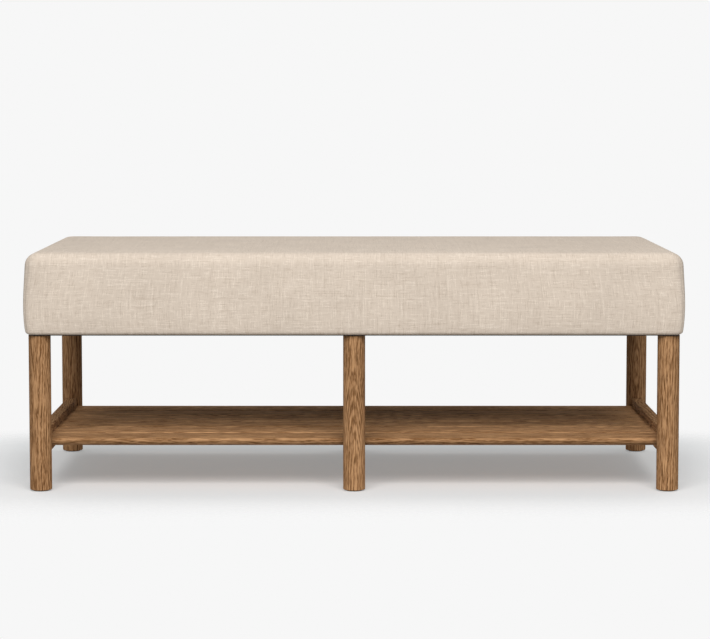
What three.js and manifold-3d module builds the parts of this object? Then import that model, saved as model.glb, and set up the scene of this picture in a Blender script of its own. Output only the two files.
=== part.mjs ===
// A long upholstered bench ottoman on six round wooden posts, with an open slatted storage shelf below.
// Millimetres, +Z up. The origin is on the floor under the middle of the seat, and the front faces -Y.
import * as THREE from "three";
import { mergeVertices } from "three/addons/utils/BufferGeometryUtils.js";
import Module from "manifold-3d";

const wasm = await Module();
wasm.setup();

// ---- Driving dimensions ----

const CLEARANCE = 0.3; // between any two pieces that touch
const OVERRUN = 1; // of a cut past the face it starts from

// Seat box, outside of the cover
const SEAT_LENGTH = 1372;
const SEAT_DEPTH = 684;
const TOP_EDGE_RADIUS = 26;
const BOTTOM_EDGE_RADIUS = 8;
const CORNER_RADIUS = 14;

// Soft layers of the seat
const COVER_THICKNESS = 1.8;
const COVER_TURN_UNDER = 55; // width of fabric stapled under the frame
const WRAP_THICKNESS = 6; // foam round the frame's four sides
const FOAM_THICKNESS = 64;
const DUST_COVER_THICKNESS = 0.8;
const DUST_COVER_INSET = 12;

// Seat frame: flat base rails, upright panels and ribs on them, and a deck over all
const BASE_RAIL_WIDTH = 44;
const BASE_RAIL_HEIGHT = 28;
const CROSS_RAIL_SPACING = 330;
const PANEL_THICKNESS = 12;
const PANEL_HEIGHT = 62;
const DECK_THICKNESS = 12;
const FRAME_CORNER_RADIUS = 11;

// Legs
const LEG_DIAMETER = 46;
const LEG_LENGTH = 325;
const LEG_INSET_X = 30.5; // from the end of the seat to the axis of a corner leg
const LEG_INSET_Y = 39; // from the front or the back of the seat to a leg's axis
const LEG_FOOT_EASE = 1.5;

// Glides under the legs
const GLIDE_DIAMETER = 34;
const GLIDE_THICKNESS = 2;
const GLIDE_EDGE = 0.6;
const GLIDE_NAIL_DIAMETER = 2.6;
const GLIDE_NAIL_LENGTH = 14;

// Rails between the front and the rear legs
const RAIL_THICKNESS = 23.5;
const SIDE_RAIL_HEIGHT = 54;
const RAIL_UNDERSIDE = 71; // above the floor
const RAIL_EDGE_RADIUS = 3;
const RAIL_SHOULDER = 18.5; // from the leg's axis to the rail's shoulder, inside the leg
const RAIL_TENON_TIP = 6; // from the leg's axis to the tenon's tip
const RAIL_TENON_THICKNESS = 10;
const RAIL_TENON_SET_IN = 6; // above and below the tenon

// Shelf slats
const SLAT_COUNT = 6;
const SLAT_GAP = 5;
const SLAT_THICKNESS = 15;
const SLAT_EDGE_RADIUS = 6;
const SHELF_RISE = 21.5; // from the rails' underside to the slats' underside
const SHELF_SET_BACK = 14.5; // from the legs' axes to the shelf's edge
const SLAT_TENON_THICKNESS = 7;
const SLAT_TENON_LENGTH = 9;
const SLAT_TENON_SET_IN = 9; // on each side of the tenon

// Slat screws
const SCREW_DIAMETER = 3.6;
const SCREW_HEAD_DIAMETER = 7.4;
const SCREW_HEAD_HEIGHT = 2.6;
const SCREW_BITE = 9; // depth of the screw in the slat

// Hanger bolts and tee nuts
const BOLT_DIAMETER = 8;
const BOLT_WAIST_DIAMETER = 6.6;
const BOLT_WAIST_LENGTH = 4;
const BOLT_BITE = 34; // depth of the bolt in the leg
const BOLT_END_EASE = 1;
const BOLT_PROUD = 2; // of the bolt past the tee nut
const NUT_BARREL_DIAMETER = 11;
const NUT_BARREL_LENGTH = 11;
const NUT_FLANGE_DIAMETER = 19;
const NUT_FLANGE_THICKNESS = 1.4;
const NUT_MARGIN = 1; // round the tee nut, in the panels and ribs

// Facets
const LEG_FACETS = 36;
const HARDWARE_FACETS = 12;
const GLIDE_FACETS = 18;
const ARC_DIVISIONS = 3; // an arc of a shape gets twice as many facets

// ---- Heights and places that follow ----

const legBase = GLIDE_THICKNESS + CLEARANCE;
const legTop = legBase + LEG_LENGTH;
const dustBase = legTop + CLEARANCE;
const coverBase = dustBase + DUST_COVER_THICKNESS + CLEARANCE;
const frameBase = coverBase + COVER_THICKNESS + CLEARANCE;
const baseRailTop = frameBase + BASE_RAIL_HEIGHT;
const panelBase = baseRailTop + CLEARANCE;
const panelTop = panelBase + PANEL_HEIGHT;
const deckBase = panelTop + CLEARANCE;
const deckTop = deckBase + DECK_THICKNESS;
const foamBase = deckTop + CLEARANCE;
const coverTop = foamBase + FOAM_THICKNESS + CLEARANCE + COVER_THICKNESS;

const paddingInset = COVER_THICKNESS + CLEARANCE;
const frameX = SEAT_LENGTH / 2 - paddingInset - WRAP_THICKNESS - CLEARANCE;
const frameY = SEAT_DEPTH / 2 - paddingInset - WRAP_THICKNESS - CLEARANCE;
const frameInnerX = frameX - BASE_RAIL_WIDTH;
const frameInnerY = frameY - BASE_RAIL_WIDTH;

const legX = SEAT_LENGTH / 2 - LEG_INSET_X;
const legY = SEAT_DEPTH / 2 - LEG_INSET_Y;
const legRadius = LEG_DIAMETER / 2;

const railInnerX = legX - RAIL_THICKNESS / 2;
const slatBase = RAIL_UNDERSIDE + SHELF_RISE;
const slatTop = slatBase + SLAT_THICKNESS;
const shelfY = legY - SHELF_SET_BACK;
const slatWidth = (2 * shelfY - (SLAT_COUNT - 1) * SLAT_GAP) / SLAT_COUNT;
const slatPitch = slatWidth + SLAT_GAP;
const slatCentres = Array.from({ length: SLAT_COUNT }, (_, i) => -shelfY + slatWidth / 2 + i * slatPitch);
const slatTenonBase = slatBase + (SLAT_THICKNESS - SLAT_TENON_THICKNESS) / 2;

const sideRail = { base: RAIL_UNDERSIDE, top: RAIL_UNDERSIDE + SIDE_RAIL_HEIGHT };
const centreRail = { base: RAIL_UNDERSIDE, top: slatBase - CLEARANCE };

const legs = [
  { name: "front_left", x: -legX, y: -legY, rail: sideRail },
  { name: "front_centre", x: 0, y: -legY, rail: centreRail },
  { name: "front_right", x: legX, y: -legY, rail: sideRail },
  { name: "rear_left", x: -legX, y: legY, rail: sideRail },
  { name: "rear_centre", x: 0, y: legY, rail: centreRail },
  { name: "rear_right", x: legX, y: legY, rail: sideRail },
];

// ---- Finishes ----

const finishes = {
  oak: { color: 0x9c7452, roughness: 0.55, metalness: 0 },
  linen: { color: 0xd3c4b2, roughness: 0.95, metalness: 0 },
  foam: { color: 0xe6dfc8, roughness: 1, metalness: 0 },
  softwood: { color: 0xc9a878, roughness: 0.8, metalness: 0 },
  plywood: { color: 0xc2a077, roughness: 0.8, metalness: 0 },
  cambric: { color: 0x1c1c1d, roughness: 1, metalness: 0 },
  steel: { color: 0xb4b6ba, roughness: 0.35, metalness: 1 },
  nylon: { color: 0x5b4a3c, roughness: 0.5, metalness: 0 },
};

// ---- Shapes ----

// A solid from a closed three.js geometry.
function solid(geometry) {
  const bare = geometry.clone();
  bare.deleteAttribute("normal");
  bare.deleteAttribute("uv");
  const merged = mergeVertices(bare, 1e-4);
  const mesh = new wasm.Mesh({
    numProp: 3,
    vertProperties: new Float32Array(merged.attributes.position.array),
    triVerts: new Uint32Array(merged.index.array),
  });
  return new wasm.Manifold(mesh);
}

// A three.js geometry from a solid.
function geometryOf(body) {
  const mesh = body.getMesh();
  const geometry = new THREE.BufferGeometry();
  geometry.setAttribute("position", new THREE.BufferAttribute(mesh.vertProperties, 3));
  geometry.setIndex(new THREE.BufferAttribute(mesh.triVerts, 1));
  geometry.computeVertexNormals();
  return geometry;
}

function cut(body, cutters) {
  return cutters.reduce((left, cutter) => left.subtract(cutter), body);
}

function block([x0, x1], [y0, y1], [z0, z1]) {
  const geometry = new THREE.BoxGeometry(Math.abs(x1 - x0), Math.abs(y1 - y0), Math.abs(z1 - z0));
  return solid(geometry.translate((x0 + x1) / 2, (y0 + y1) / 2, (z0 + z1) / 2));
}

// A turned solid on the vertical axis through x, y. The profile runs upwards as [radius, height] pairs.
function turned(profile, facets, x, y) {
  const points = profile.map(([radius, height]) => new THREE.Vector2(radius, height));
  const geometry = new THREE.LatheGeometry(points, facets);
  return solid(geometry.rotateX(Math.PI / 2).translate(x, y, 0));
}

function cylinder(radius, [z0, z1], facets, x, y) {
  return turned([[0, z0], [radius, z0], [radius, z1], [0, z1]], facets, x, y);
}

function roundedRectangle(width, height, radius) {
  const x = width / 2;
  const y = height / 2;
  const shape = new THREE.Shape();
  shape.absarc(x - radius, y - radius, radius, 0, Math.PI / 2);
  shape.absarc(radius - x, y - radius, radius, Math.PI / 2, Math.PI);
  shape.absarc(radius - x, radius - y, radius, Math.PI, 1.5 * Math.PI);
  shape.absarc(x - radius, radius - y, radius, 1.5 * Math.PI, 2 * Math.PI);
  return shape;
}

// A straight bar with rounded edges. Its width, height and length lie along the three given directions.
function bar(width, height, length, radius, directions, centre) {
  const shape = roundedRectangle(width, height, radius);
  const options = { depth: length, bevelEnabled: false, steps: 1, curveSegments: ARC_DIVISIONS };
  const geometry = new THREE.ExtrudeGeometry(shape, options).translate(0, 0, -length / 2);
  geometry.applyMatrix4(new THREE.Matrix4().makeBasis(...directions).setPosition(...centre));
  return solid(geometry);
}

const ALONG_X = [new THREE.Vector3(0, 1, 0), new THREE.Vector3(0, 0, 1), new THREE.Vector3(1, 0, 0)];
const ALONG_Y = [new THREE.Vector3(-1, 0, 0), new THREE.Vector3(0, 0, 1), new THREE.Vector3(0, 1, 0)];
const UPRIGHT = [new THREE.Vector3(1, 0, 0), new THREE.Vector3(0, 1, 0), new THREE.Vector3(0, 0, 1)];

// A solid skinned over level rings, each { z, points }, from the lowest to the highest.
function skinned(rings) {
  const count = rings[0].points.length;
  const position = rings.flatMap(({ z, points }) => points.flatMap((p) => [p.x, p.y, z]));
  const index = [];
  for (let ring = 0; ring + 1 < rings.length; ring++) {
    for (let i = 0; i < count; i++) {
      const a = ring * count + i;
      const b = ring * count + ((i + 1) % count);
      index.push(a, b, b + count, a, b + count, a + count);
    }
  }
  const last = (rings.length - 1) * count;
  for (let i = 1; i + 1 < count; i++) {
    index.push(0, i + 1, i);
    index.push(last, last + i, last + i + 1);
  }
  const geometry = new THREE.BufferGeometry();
  geometry.setAttribute("position", new THREE.Float32BufferAttribute(position, 3));
  geometry.setIndex(index);
  return solid(geometry);
}

// The seat's outer form, or the form that lies the given distance inside it.
function seatForm(inset) {
  const halfX = SEAT_LENGTH / 2 - inset;
  const halfY = SEAT_DEPTH / 2 - inset;
  const bottom = coverBase + inset;
  const top = coverTop - inset;
  const lower = BOTTOM_EDGE_RADIUS - inset;
  const upper = TOP_EDGE_RADIUS - inset;
  const ring = (shrink, z) => {
    const outline = roundedRectangle(2 * (halfX - shrink), 2 * (halfY - shrink), CORNER_RADIUS - inset);
    const points = outline.extractPoints(ARC_DIVISIONS).shape;
    if (points[0].distanceTo(points[points.length - 1]) < 1e-6) points.pop();
    return { z, points };
  };
  const rings = [];
  for (let i = 0; i <= ARC_DIVISIONS; i++) {
    const angle = (i / ARC_DIVISIONS) * (Math.PI / 2);
    rings.push(ring(lower * (1 - Math.sin(angle)), bottom + lower * (1 - Math.cos(angle))));
  }
  for (let i = 0; i <= 2 * ARC_DIVISIONS; i++) {
    const angle = (i / (2 * ARC_DIVISIONS)) * (Math.PI / 2);
    rings.push(ring(upper * (1 - Math.cos(angle)), top - upper * (1 - Math.sin(angle))));
  }
  return skinned(rings);
}

// ---- Legs, glides and the bolts in the leg tops ----

// What a rail's end takes out of a leg: a housing for its whole section and a deeper mortise for its tenon.
function railSocket({ x, y, rail }) {
  const inwards = -Math.sign(y);
  const halfRail = RAIL_THICKNESS / 2 + CLEARANCE;
  const halfTenon = RAIL_TENON_THICKNESS / 2 + CLEARANCE;
  const mouth = y + inwards * LEG_DIAMETER;
  const housing = block(
    [x - halfRail, x + halfRail],
    [y + inwards * (RAIL_SHOULDER - CLEARANCE), mouth],
    [rail.base - CLEARANCE, rail.top + CLEARANCE],
  );
  const mortise = block(
    [x - halfTenon, x + halfTenon],
    [y + inwards * (RAIL_TENON_TIP - CLEARANCE), mouth],
    [rail.base + RAIL_TENON_SET_IN - CLEARANCE, rail.top - RAIL_TENON_SET_IN + CLEARANCE],
  );
  return [housing, mortise];
}

function leg(place) {
  const { x, y } = place;
  const profile = [
    [0, legBase],
    [legRadius - LEG_FOOT_EASE, legBase],
    [legRadius, legBase + LEG_FOOT_EASE],
    [legRadius, legTop],
    [0, legTop],
  ];
  const boltHole = [legTop - BOLT_BITE - CLEARANCE, legTop + OVERRUN];
  const nailHole = [legBase - OVERRUN, legBase + GLIDE_NAIL_LENGTH];
  return cut(turned(profile, LEG_FACETS, x, y), [
    ...railSocket(place),
    cylinder(BOLT_DIAMETER / 2 + CLEARANCE, boltHole, HARDWARE_FACETS, x, y),
    cylinder(GLIDE_NAIL_DIAMETER / 2 + CLEARANCE, nailHole, HARDWARE_FACETS, x, y),
  ]);
}

function glide({ x, y }) {
  const rim = GLIDE_DIAMETER / 2;
  const nail = GLIDE_NAIL_DIAMETER / 2;
  const profile = [
    [0, 0],
    [rim - GLIDE_EDGE, 0],
    [rim, GLIDE_EDGE],
    [rim, GLIDE_THICKNESS],
    [nail, GLIDE_THICKNESS],
    [nail, GLIDE_THICKNESS + GLIDE_NAIL_LENGTH - nail],
    [0, GLIDE_THICKNESS + GLIDE_NAIL_LENGTH],
  ];
  return turned(profile, GLIDE_FACETS, x, y);
}

const boltTop = baseRailTop + NUT_FLANGE_THICKNESS + BOLT_PROUD;

function hangerBolt({ x, y }) {
  const thread = BOLT_DIAMETER / 2;
  const waist = BOLT_WAIST_DIAMETER / 2;
  const base = legTop - BOLT_BITE;
  const profile = [
    [0, base],
    [thread, base + thread],
    [thread, legTop - BOLT_WAIST_LENGTH],
    [waist, legTop - BOLT_WAIST_LENGTH],
    [waist, legTop],
    [thread, legTop],
    [thread, boltTop - BOLT_END_EASE],
    [thread - BOLT_END_EASE, boltTop],
    [0, boltTop],
  ];
  return turned(profile, HARDWARE_FACETS, x, y);
}

function teeNut({ x, y }) {
  const barrel = NUT_BARREL_DIAMETER / 2;
  const flange = NUT_FLANGE_DIAMETER / 2;
  const flangeBase = baseRailTop + CLEARANCE;
  const flangeTop = flangeBase + NUT_FLANGE_THICKNESS;
  const barrelBase = flangeBase - NUT_BARREL_LENGTH;
  const profile = [
    [0, barrelBase],
    [barrel, barrelBase],
    [barrel, flangeBase],
    [flange, flangeBase],
    [flange, flangeTop],
    [0, flangeTop],
  ];
  const bore = BOLT_DIAMETER / 2 + CLEARANCE;
  const through = [barrelBase - OVERRUN, flangeTop + OVERRUN];
  return turned(profile, HARDWARE_FACETS, x, y).subtract(cylinder(bore, through, HARDWARE_FACETS, x, y));
}

// ---- Rails and shelf ----

// A rail from the front leg to the rear leg, with a tenon on each end.
function railAt(x, { base, top }) {
  const middle = (base + top) / 2;
  const length = 2 * (legY - RAIL_SHOULDER);
  const body = bar(RAIL_THICKNESS, top - base, length, RAIL_EDGE_RADIUS, ALONG_Y, [x, 0, middle]);
  const reach = legY - RAIL_TENON_TIP;
  const tenons = block(
    [x - RAIL_TENON_THICKNESS / 2, x + RAIL_TENON_THICKNESS / 2],
    [-reach, reach],
    [base + RAIL_TENON_SET_IN, top - RAIL_TENON_SET_IN],
  );
  return body.add(tenons);
}

// The row of mortises that the slats' tenons enter, on the inner face of the side rail on the given side.
function slatMortises(side) {
  const reach = slatWidth / 2 - SLAT_TENON_SET_IN + CLEARANCE;
  return slatCentres.map((y) =>
    block(
      [side * (railInnerX - OVERRUN), side * (railInnerX + SLAT_TENON_LENGTH + CLEARANCE)],
      [y - reach, y + reach],
      [slatTenonBase - CLEARANCE, slatTenonBase + SLAT_TENON_THICKNESS + CLEARANCE],
    ),
  );
}

const screwBase = centreRail.base;
const screwTop = slatBase + SCREW_BITE;

// A countersunk screw, or with a clearance the hole that it goes in.
function screwForm(y, clearance) {
  const head = SCREW_HEAD_DIAMETER / 2 + clearance;
  const shank = SCREW_DIAMETER / 2 + clearance;
  const base = screwBase - (clearance > 0 ? OVERRUN : 0);
  const profile = [
    [0, base],
    [head, base],
    [head, screwBase + clearance],
    [shank, screwBase + SCREW_HEAD_HEIGHT + clearance],
    [shank, screwTop - shank + clearance],
    [0, screwTop + clearance],
  ];
  if (clearance === 0) profile.splice(2, 1);
  return turned(profile, HARDWARE_FACETS, 0, y);
}

// A slat between the side rails, tenoned into them, scribed round the legs and bored for its screw.
function slat(y) {
  const reach = railInnerX - CLEARANCE;
  const middle = (slatBase + slatTop) / 2;
  const body = bar(slatWidth, SLAT_THICKNESS, 2 * reach, SLAT_EDGE_RADIUS, ALONG_X, [0, y, middle]);
  const tip = railInnerX + SLAT_TENON_LENGTH;
  const half = slatWidth / 2 - SLAT_TENON_SET_IN;
  const height = [slatTenonBase, slatTenonBase + SLAT_TENON_THICKNESS];
  const tenons = block([-tip, tip], [y - half, y + half], height);
  const posts = legs.map((place) =>
    cylinder(legRadius + CLEARANCE, [slatBase - OVERRUN, slatTop + OVERRUN], LEG_FACETS, place.x, place.y),
  );
  return cut(body.add(tenons), [...posts, screwForm(y, CLEARANCE)]);
}

// ---- Seat frame ----

// The holes of the hanger bolts, wide enough at the top of the base rail for the tee nuts' barrels.
function boltHoles(span, withNuts) {
  const bolts = legs.map(({ x, y }) =>
    cylinder(BOLT_DIAMETER / 2 + CLEARANCE, span, HARDWARE_FACETS, x, y),
  );
  if (!withNuts) return bolts;
  const seat = [baseRailTop - NUT_BARREL_LENGTH, baseRailTop + OVERRUN];
  const barrels = legs.map(({ x, y }) =>
    cylinder(NUT_BARREL_DIAMETER / 2 + CLEARANCE, seat, HARDWARE_FACETS, x, y),
  );
  return [...bolts, ...barrels];
}

// The frame's outline as a solid over the given height, grown all round by the given distance.
function frameForm(growth, [z0, z1]) {
  const radius = FRAME_CORNER_RADIUS + growth;
  const middle = [0, 0, (z0 + z1) / 2];
  return bar(2 * (frameX + growth), 2 * (frameY + growth), z1 - z0, radius, UPRIGHT, middle);
}

// A front or rear base rail, with its corners kept inside the cover where that turns under.
function longBaseRail(side) {
  const height = [frameBase, baseRailTop];
  const board = block([-frameX, frameX], [side * frameInnerY, side * frameY], height);
  const rounded = board.intersect(frameForm(0, height)).intersect(seatForm(paddingInset));
  return cut(rounded, boltHoles([frameBase - OVERRUN, baseRailTop + OVERRUN], true));
}

const crossReach = frameInnerY - CLEARANCE;

function endBaseRail(side) {
  const width = [side * frameInnerX, side * frameX];
  const board = block(width, [-crossReach, crossReach], [frameBase, baseRailTop]);
  return board.intersect(seatForm(paddingInset));
}

function crossRail(x) {
  const half = BASE_RAIL_WIDTH / 2;
  return block([x - half, x + half], [-crossReach, crossReach], [frameBase, baseRailTop]);
}

// Room round each tee nut, cut out of what stands on the base rails.
function nutRooms() {
  const room = NUT_FLANGE_DIAMETER / 2 + NUT_MARGIN;
  const height = [panelBase - OVERRUN, boltTop + NUT_MARGIN];
  return legs.map(({ x, y }) => cylinder(room, height, HARDWARE_FACETS, x, y));
}

function longPanel(side) {
  const height = [panelBase, panelTop];
  const board = block([-frameX, frameX], [side * (frameY - PANEL_THICKNESS), side * frameY], height);
  return cut(board.intersect(frameForm(0, height)), nutRooms());
}

const ribReach = frameY - PANEL_THICKNESS - CLEARANCE;

function endPanel(side) {
  const width = [side * (frameX - PANEL_THICKNESS), side * frameX];
  return cut(block(width, [-ribReach, ribReach], [panelBase, panelTop]), nutRooms());
}

function rib(x) {
  const half = PANEL_THICKNESS / 2;
  return cut(block([x - half, x + half], [-ribReach, ribReach], [panelBase, panelTop]), nutRooms());
}

// ---- Padding, cover and dust cover ----

function foamPad() {
  const above = block([-SEAT_LENGTH, SEAT_LENGTH], [-SEAT_DEPTH, SEAT_DEPTH], [foamBase, coverTop]);
  return seatForm(paddingInset).intersect(above);
}

function foamWrap() {
  const height = [frameBase + BOTTOM_EDGE_RADIUS / 2, deckTop];
  const beside = block([-SEAT_LENGTH, SEAT_LENGTH], [-SEAT_DEPTH, SEAT_DEPTH], height);
  const frameRoom = frameForm(CLEARANCE, [frameBase, deckTop + OVERRUN]);
  return seatForm(paddingInset).intersect(beside).subtract(frameRoom);
}

function cover() {
  const x = SEAT_LENGTH / 2 - COVER_TURN_UNDER;
  const y = SEAT_DEPTH / 2 - COVER_TURN_UNDER;
  const underside = block([-x, x], [-y, y], [coverBase - OVERRUN, frameBase]);
  const bolts = boltHoles([coverBase - OVERRUN, frameBase], false);
  return cut(seatForm(0), [seatForm(COVER_THICKNESS), underside, ...bolts]);
}

function dustCover() {
  const length = SEAT_LENGTH - 2 * DUST_COVER_INSET;
  const depth = SEAT_DEPTH - 2 * DUST_COVER_INSET;
  const middle = dustBase + DUST_COVER_THICKNESS / 2;
  const sheet = bar(length, depth, DUST_COVER_THICKNESS, CORNER_RADIUS, UPRIGHT, [0, 0, middle]);
  return cut(sheet, boltHoles([dustBase - OVERRUN, coverBase], false));
}

// ---- Assembly ----

const ottoman = new THREE.Group();

function addPiece(group, name, body, finish) {
  const mesh = new THREE.Mesh(geometryOf(body), new THREE.MeshStandardMaterial(finishes[finish]));
  mesh.name = name;
  group.add(mesh);
}

const base = new THREE.Group();
for (const place of legs) {
  addPiece(base, `leg_${place.name}`, leg(place), "oak");
  addPiece(base, `glide_${place.name}`, glide(place), "nylon");
  addPiece(base, `hanger_bolt_${place.name}`, hangerBolt(place), "steel");
  addPiece(base, `tee_nut_${place.name}`, teeNut(place), "steel");
}
ottoman.add(base);

const shelf = new THREE.Group();
addPiece(shelf, "side_rail_left", cut(railAt(-legX, sideRail), slatMortises(-1)), "oak");
addPiece(shelf, "side_rail_right", cut(railAt(legX, sideRail), slatMortises(1)), "oak");
const screwHoles = slatCentres.map((y) => screwForm(y, CLEARANCE));
addPiece(shelf, "centre_rail", cut(railAt(0, centreRail), screwHoles), "oak");
slatCentres.forEach((y, i) => {
  addPiece(shelf, `slat_${i + 1}`, slat(y), "oak");
  addPiece(shelf, `slat_screw_${i + 1}`, screwForm(y, 0), "steel");
});
ottoman.add(shelf);

const seatFrame = new THREE.Group();
addPiece(seatFrame, "base_rail_front", longBaseRail(-1), "softwood");
addPiece(seatFrame, "base_rail_rear", longBaseRail(1), "softwood");
addPiece(seatFrame, "base_rail_left", endBaseRail(-1), "softwood");
addPiece(seatFrame, "base_rail_right", endBaseRail(1), "softwood");
addPiece(seatFrame, "panel_front", longPanel(-1), "plywood");
addPiece(seatFrame, "panel_rear", longPanel(1), "plywood");
addPiece(seatFrame, "panel_left", endPanel(-1), "plywood");
addPiece(seatFrame, "panel_right", endPanel(1), "plywood");
const crossPlaces = { left: -CROSS_RAIL_SPACING, centre: 0, right: CROSS_RAIL_SPACING };
for (const [name, x] of Object.entries(crossPlaces)) {
  addPiece(seatFrame, `cross_rail_${name}`, crossRail(x), "softwood");
  addPiece(seatFrame, `rib_${name}`, rib(x), "plywood");
}
addPiece(seatFrame, "deck", frameForm(0, [deckBase, deckTop]), "plywood");
ottoman.add(seatFrame);

const upholstery = new THREE.Group();
addPiece(upholstery, "foam_pad", foamPad(), "foam");
addPiece(upholstery, "foam_wrap", foamWrap(), "foam");
addPiece(upholstery, "seat_cover", cover(), "linen");
addPiece(upholstery, "dust_cover", dustCover(), "cambric");
ottoman.add(upholstery);

export default ottoman;
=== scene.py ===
# %% [markdown]
# # An upholstered bench ottoman with an open slatted shelf
#
# The bench has three kinds of pieces: a padded seat box, turned oak posts with rails between them, and a shelf of
# oak slats. This file makes them one after another round a frame of CAD solids, which gives every place and size.
# Nothing is fitted by eye: each piece reads the box of the CAD piece that it stands for.

import math
import random

import bmesh
import bpy
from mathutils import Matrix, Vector, noise


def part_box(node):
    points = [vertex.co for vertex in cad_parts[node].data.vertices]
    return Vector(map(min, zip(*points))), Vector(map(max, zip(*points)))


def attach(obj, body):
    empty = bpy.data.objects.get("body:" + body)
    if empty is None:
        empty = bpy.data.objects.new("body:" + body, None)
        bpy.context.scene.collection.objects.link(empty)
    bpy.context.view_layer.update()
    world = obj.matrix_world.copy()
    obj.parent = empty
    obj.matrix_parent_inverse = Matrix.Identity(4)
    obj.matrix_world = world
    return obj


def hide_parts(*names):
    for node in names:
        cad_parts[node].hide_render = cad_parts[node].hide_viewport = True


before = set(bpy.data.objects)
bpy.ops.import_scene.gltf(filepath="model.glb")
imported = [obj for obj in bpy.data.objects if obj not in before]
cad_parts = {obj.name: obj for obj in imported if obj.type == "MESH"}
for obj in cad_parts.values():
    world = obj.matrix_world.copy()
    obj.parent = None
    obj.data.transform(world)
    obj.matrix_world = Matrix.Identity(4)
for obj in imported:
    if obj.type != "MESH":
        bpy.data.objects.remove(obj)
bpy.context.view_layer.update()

# %% [markdown]
# ## Camera
#
# A long lens from the front, a little above the seat, looks slightly down. A long lens keeps the posts parallel.
# The depth of field stays off, so that the whole bench is sharp.

# %% Camera
LENS = 129.8
CAMERA_PLACE = (0.0018, -5.6147, 0.818)
CAMERA_TILT = 85.06  # degrees from straight down

camera = bpy.data.objects.new("camera", bpy.data.cameras.new("camera"))
camera.data.lens = LENS
camera.data.sensor_width = 36.0
camera.location = CAMERA_PLACE
camera.rotation_euler = (math.radians(CAMERA_TILT), 0.0, 0.0)
bpy.context.collection.objects.link(camera)
bpy.context.scene.camera = camera
print("camera at", CAMERA_PLACE, "with a", LENS, "mm lens")

# %% [markdown]
# ## Small tools
#
# Most pieces go through the same few steps: faces become an object, a modifier is applied, one solid is cut with
# another, and the finished piece is tied to the frame. Each step has its own short function.

# %% Objects and modifiers
CLEARANCE = 0.0003  # between two pieces that touch
OVERRUN = 0.001  # how far a cutter passes the face that it cuts
ROOT = "root"


def object_of(name, mesh):
    """A new object for a mesh, in the scene."""
    made = bpy.data.objects.new(name, mesh)
    bpy.context.collection.objects.link(made)
    return made


def mesh_of(name, build):
    """A mesh from a function that fills a bmesh."""
    shape = bmesh.new()
    build(shape)
    mesh = bpy.data.meshes.new(name)
    shape.to_mesh(mesh)
    shape.free()
    return mesh


def discard(*objects):
    """Takes helper objects out of the scene."""
    for each in objects:
        bpy.data.objects.remove(each, do_unlink=True)


def bake_modifiers(piece):
    """Turns what the modifiers make of an object into its plain mesh, and drops the modifiers."""
    seen = piece.evaluated_get(bpy.context.evaluated_depsgraph_get())
    mesh = bpy.data.meshes.new_from_object(seen)
    piece.modifiers.clear()
    piece.data = mesh
    return piece


def combine(piece, operation, *cutters):
    """Cuts the cutters out of a piece, or joins them to it, and removes them."""
    for cutter in cutters:
        step = piece.modifiers.new("combine", "BOOLEAN")
        step.solver = "EXACT"
        step.operation = operation
        step.object = cutter
    bake_modifiers(piece)
    discard(*cutters)
    return piece


# %% Basic solids
def block(name, low, high):
    """A box between two corners."""

    def build(shape):
        bmesh.ops.create_cube(shape, size=1.0)
        for vertex in shape.verts:
            for axis in range(3):
                vertex.co[axis] = low[axis] if vertex.co[axis] < 0 else high[axis]

    return object_of(name, mesh_of(name, build))


def turned(name, profile, sides, place=(0.0, 0.0)):
    """A turned solid from (radius, height) pairs, which run up from one point on the axis to another."""

    def build(shape):
        rings = []
        for radius, height in profile:
            if radius == 0:
                rings.append([shape.verts.new((place[0], place[1], height))])
                continue
            ring = []
            for side in range(sides):
                angle = 2 * math.pi * side / sides
                x = place[0] + radius * math.cos(angle)
                y = place[1] + radius * math.sin(angle)
                ring.append(shape.verts.new((x, y, height)))
            rings.append(ring)
        for lower, upper in zip(rings, rings[1:]):
            for side in range(sides):
                after = (side + 1) % sides
                if len(lower) == 1:
                    shape.faces.new((lower[0], upper[after], upper[side]))
                elif len(upper) == 1:
                    shape.faces.new((lower[side], lower[after], upper[0]))
                else:
                    shape.faces.new((lower[side], lower[after], upper[after], upper[side]))
        bmesh.ops.recalc_face_normals(shape, faces=shape.faces)

    return object_of(name, mesh_of(name, build))


def cylinder_profile(radius, base, top):
    """The profile of a plain cylinder."""
    return [(0.0, base), (radius, base), (radius, top), (0.0, top)]


def soften(piece, degrees=35):
    """Smooth shading, with the edges that are sharper than the given angle kept crisp."""
    piece.data.shade_smooth()
    piece.data.set_sharp_from_angle(angle=math.radians(degrees))
    return piece


# %% Tying a piece to the frame
def finish_piece(piece, material, nodes):
    """Gives a finished piece its material and the CAD pieces that it stands for."""
    piece.data.materials.clear()
    piece.data.materials.append(material)
    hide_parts(*nodes)
    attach(piece, ROOT)
    faces = sum(len(face.vertices) - 2 for face in piece.data.polygons)
    print(piece.name, "stands for", len(nodes), "CAD pieces, with", faces, "triangles")
    return piece


# %% [markdown]
# ## Materials from nodes
#
# A material is a small network: coordinates go in, patterns are mixed, and colour, roughness and bump come out. The
# helper below adds one node, sets its plain numbers and links what comes from other nodes, so that a material reads
# from top to bottom like a recipe.

# %% A helper for nodes
def add(tree, kind, inputs=None, **settings):
    """A node with its settings, and its inputs by name or number: a socket is linked and a value is set."""
    made = tree.nodes.new(kind)
    for name, value in settings.items():
        setattr(made, name, value)
    for key, value in (inputs or {}).items():
        if isinstance(value, bpy.types.NodeSocket):
            tree.links.new(value, made.inputs[key])
        else:
            made.inputs[key].default_value = value
    return made


def calc(tree, operation, *values):
    """The result of one Math node."""
    return add(tree, "ShaderNodeMath", dict(enumerate(values)), operation=operation).outputs[0]


def scaled(tree, vector, scale):
    """A vector multiplied by another, part by part."""
    made = add(tree, "ShaderNodeVectorMath", {0: vector, 1: scale}, operation="MULTIPLY")
    return made.outputs[0]


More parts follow.
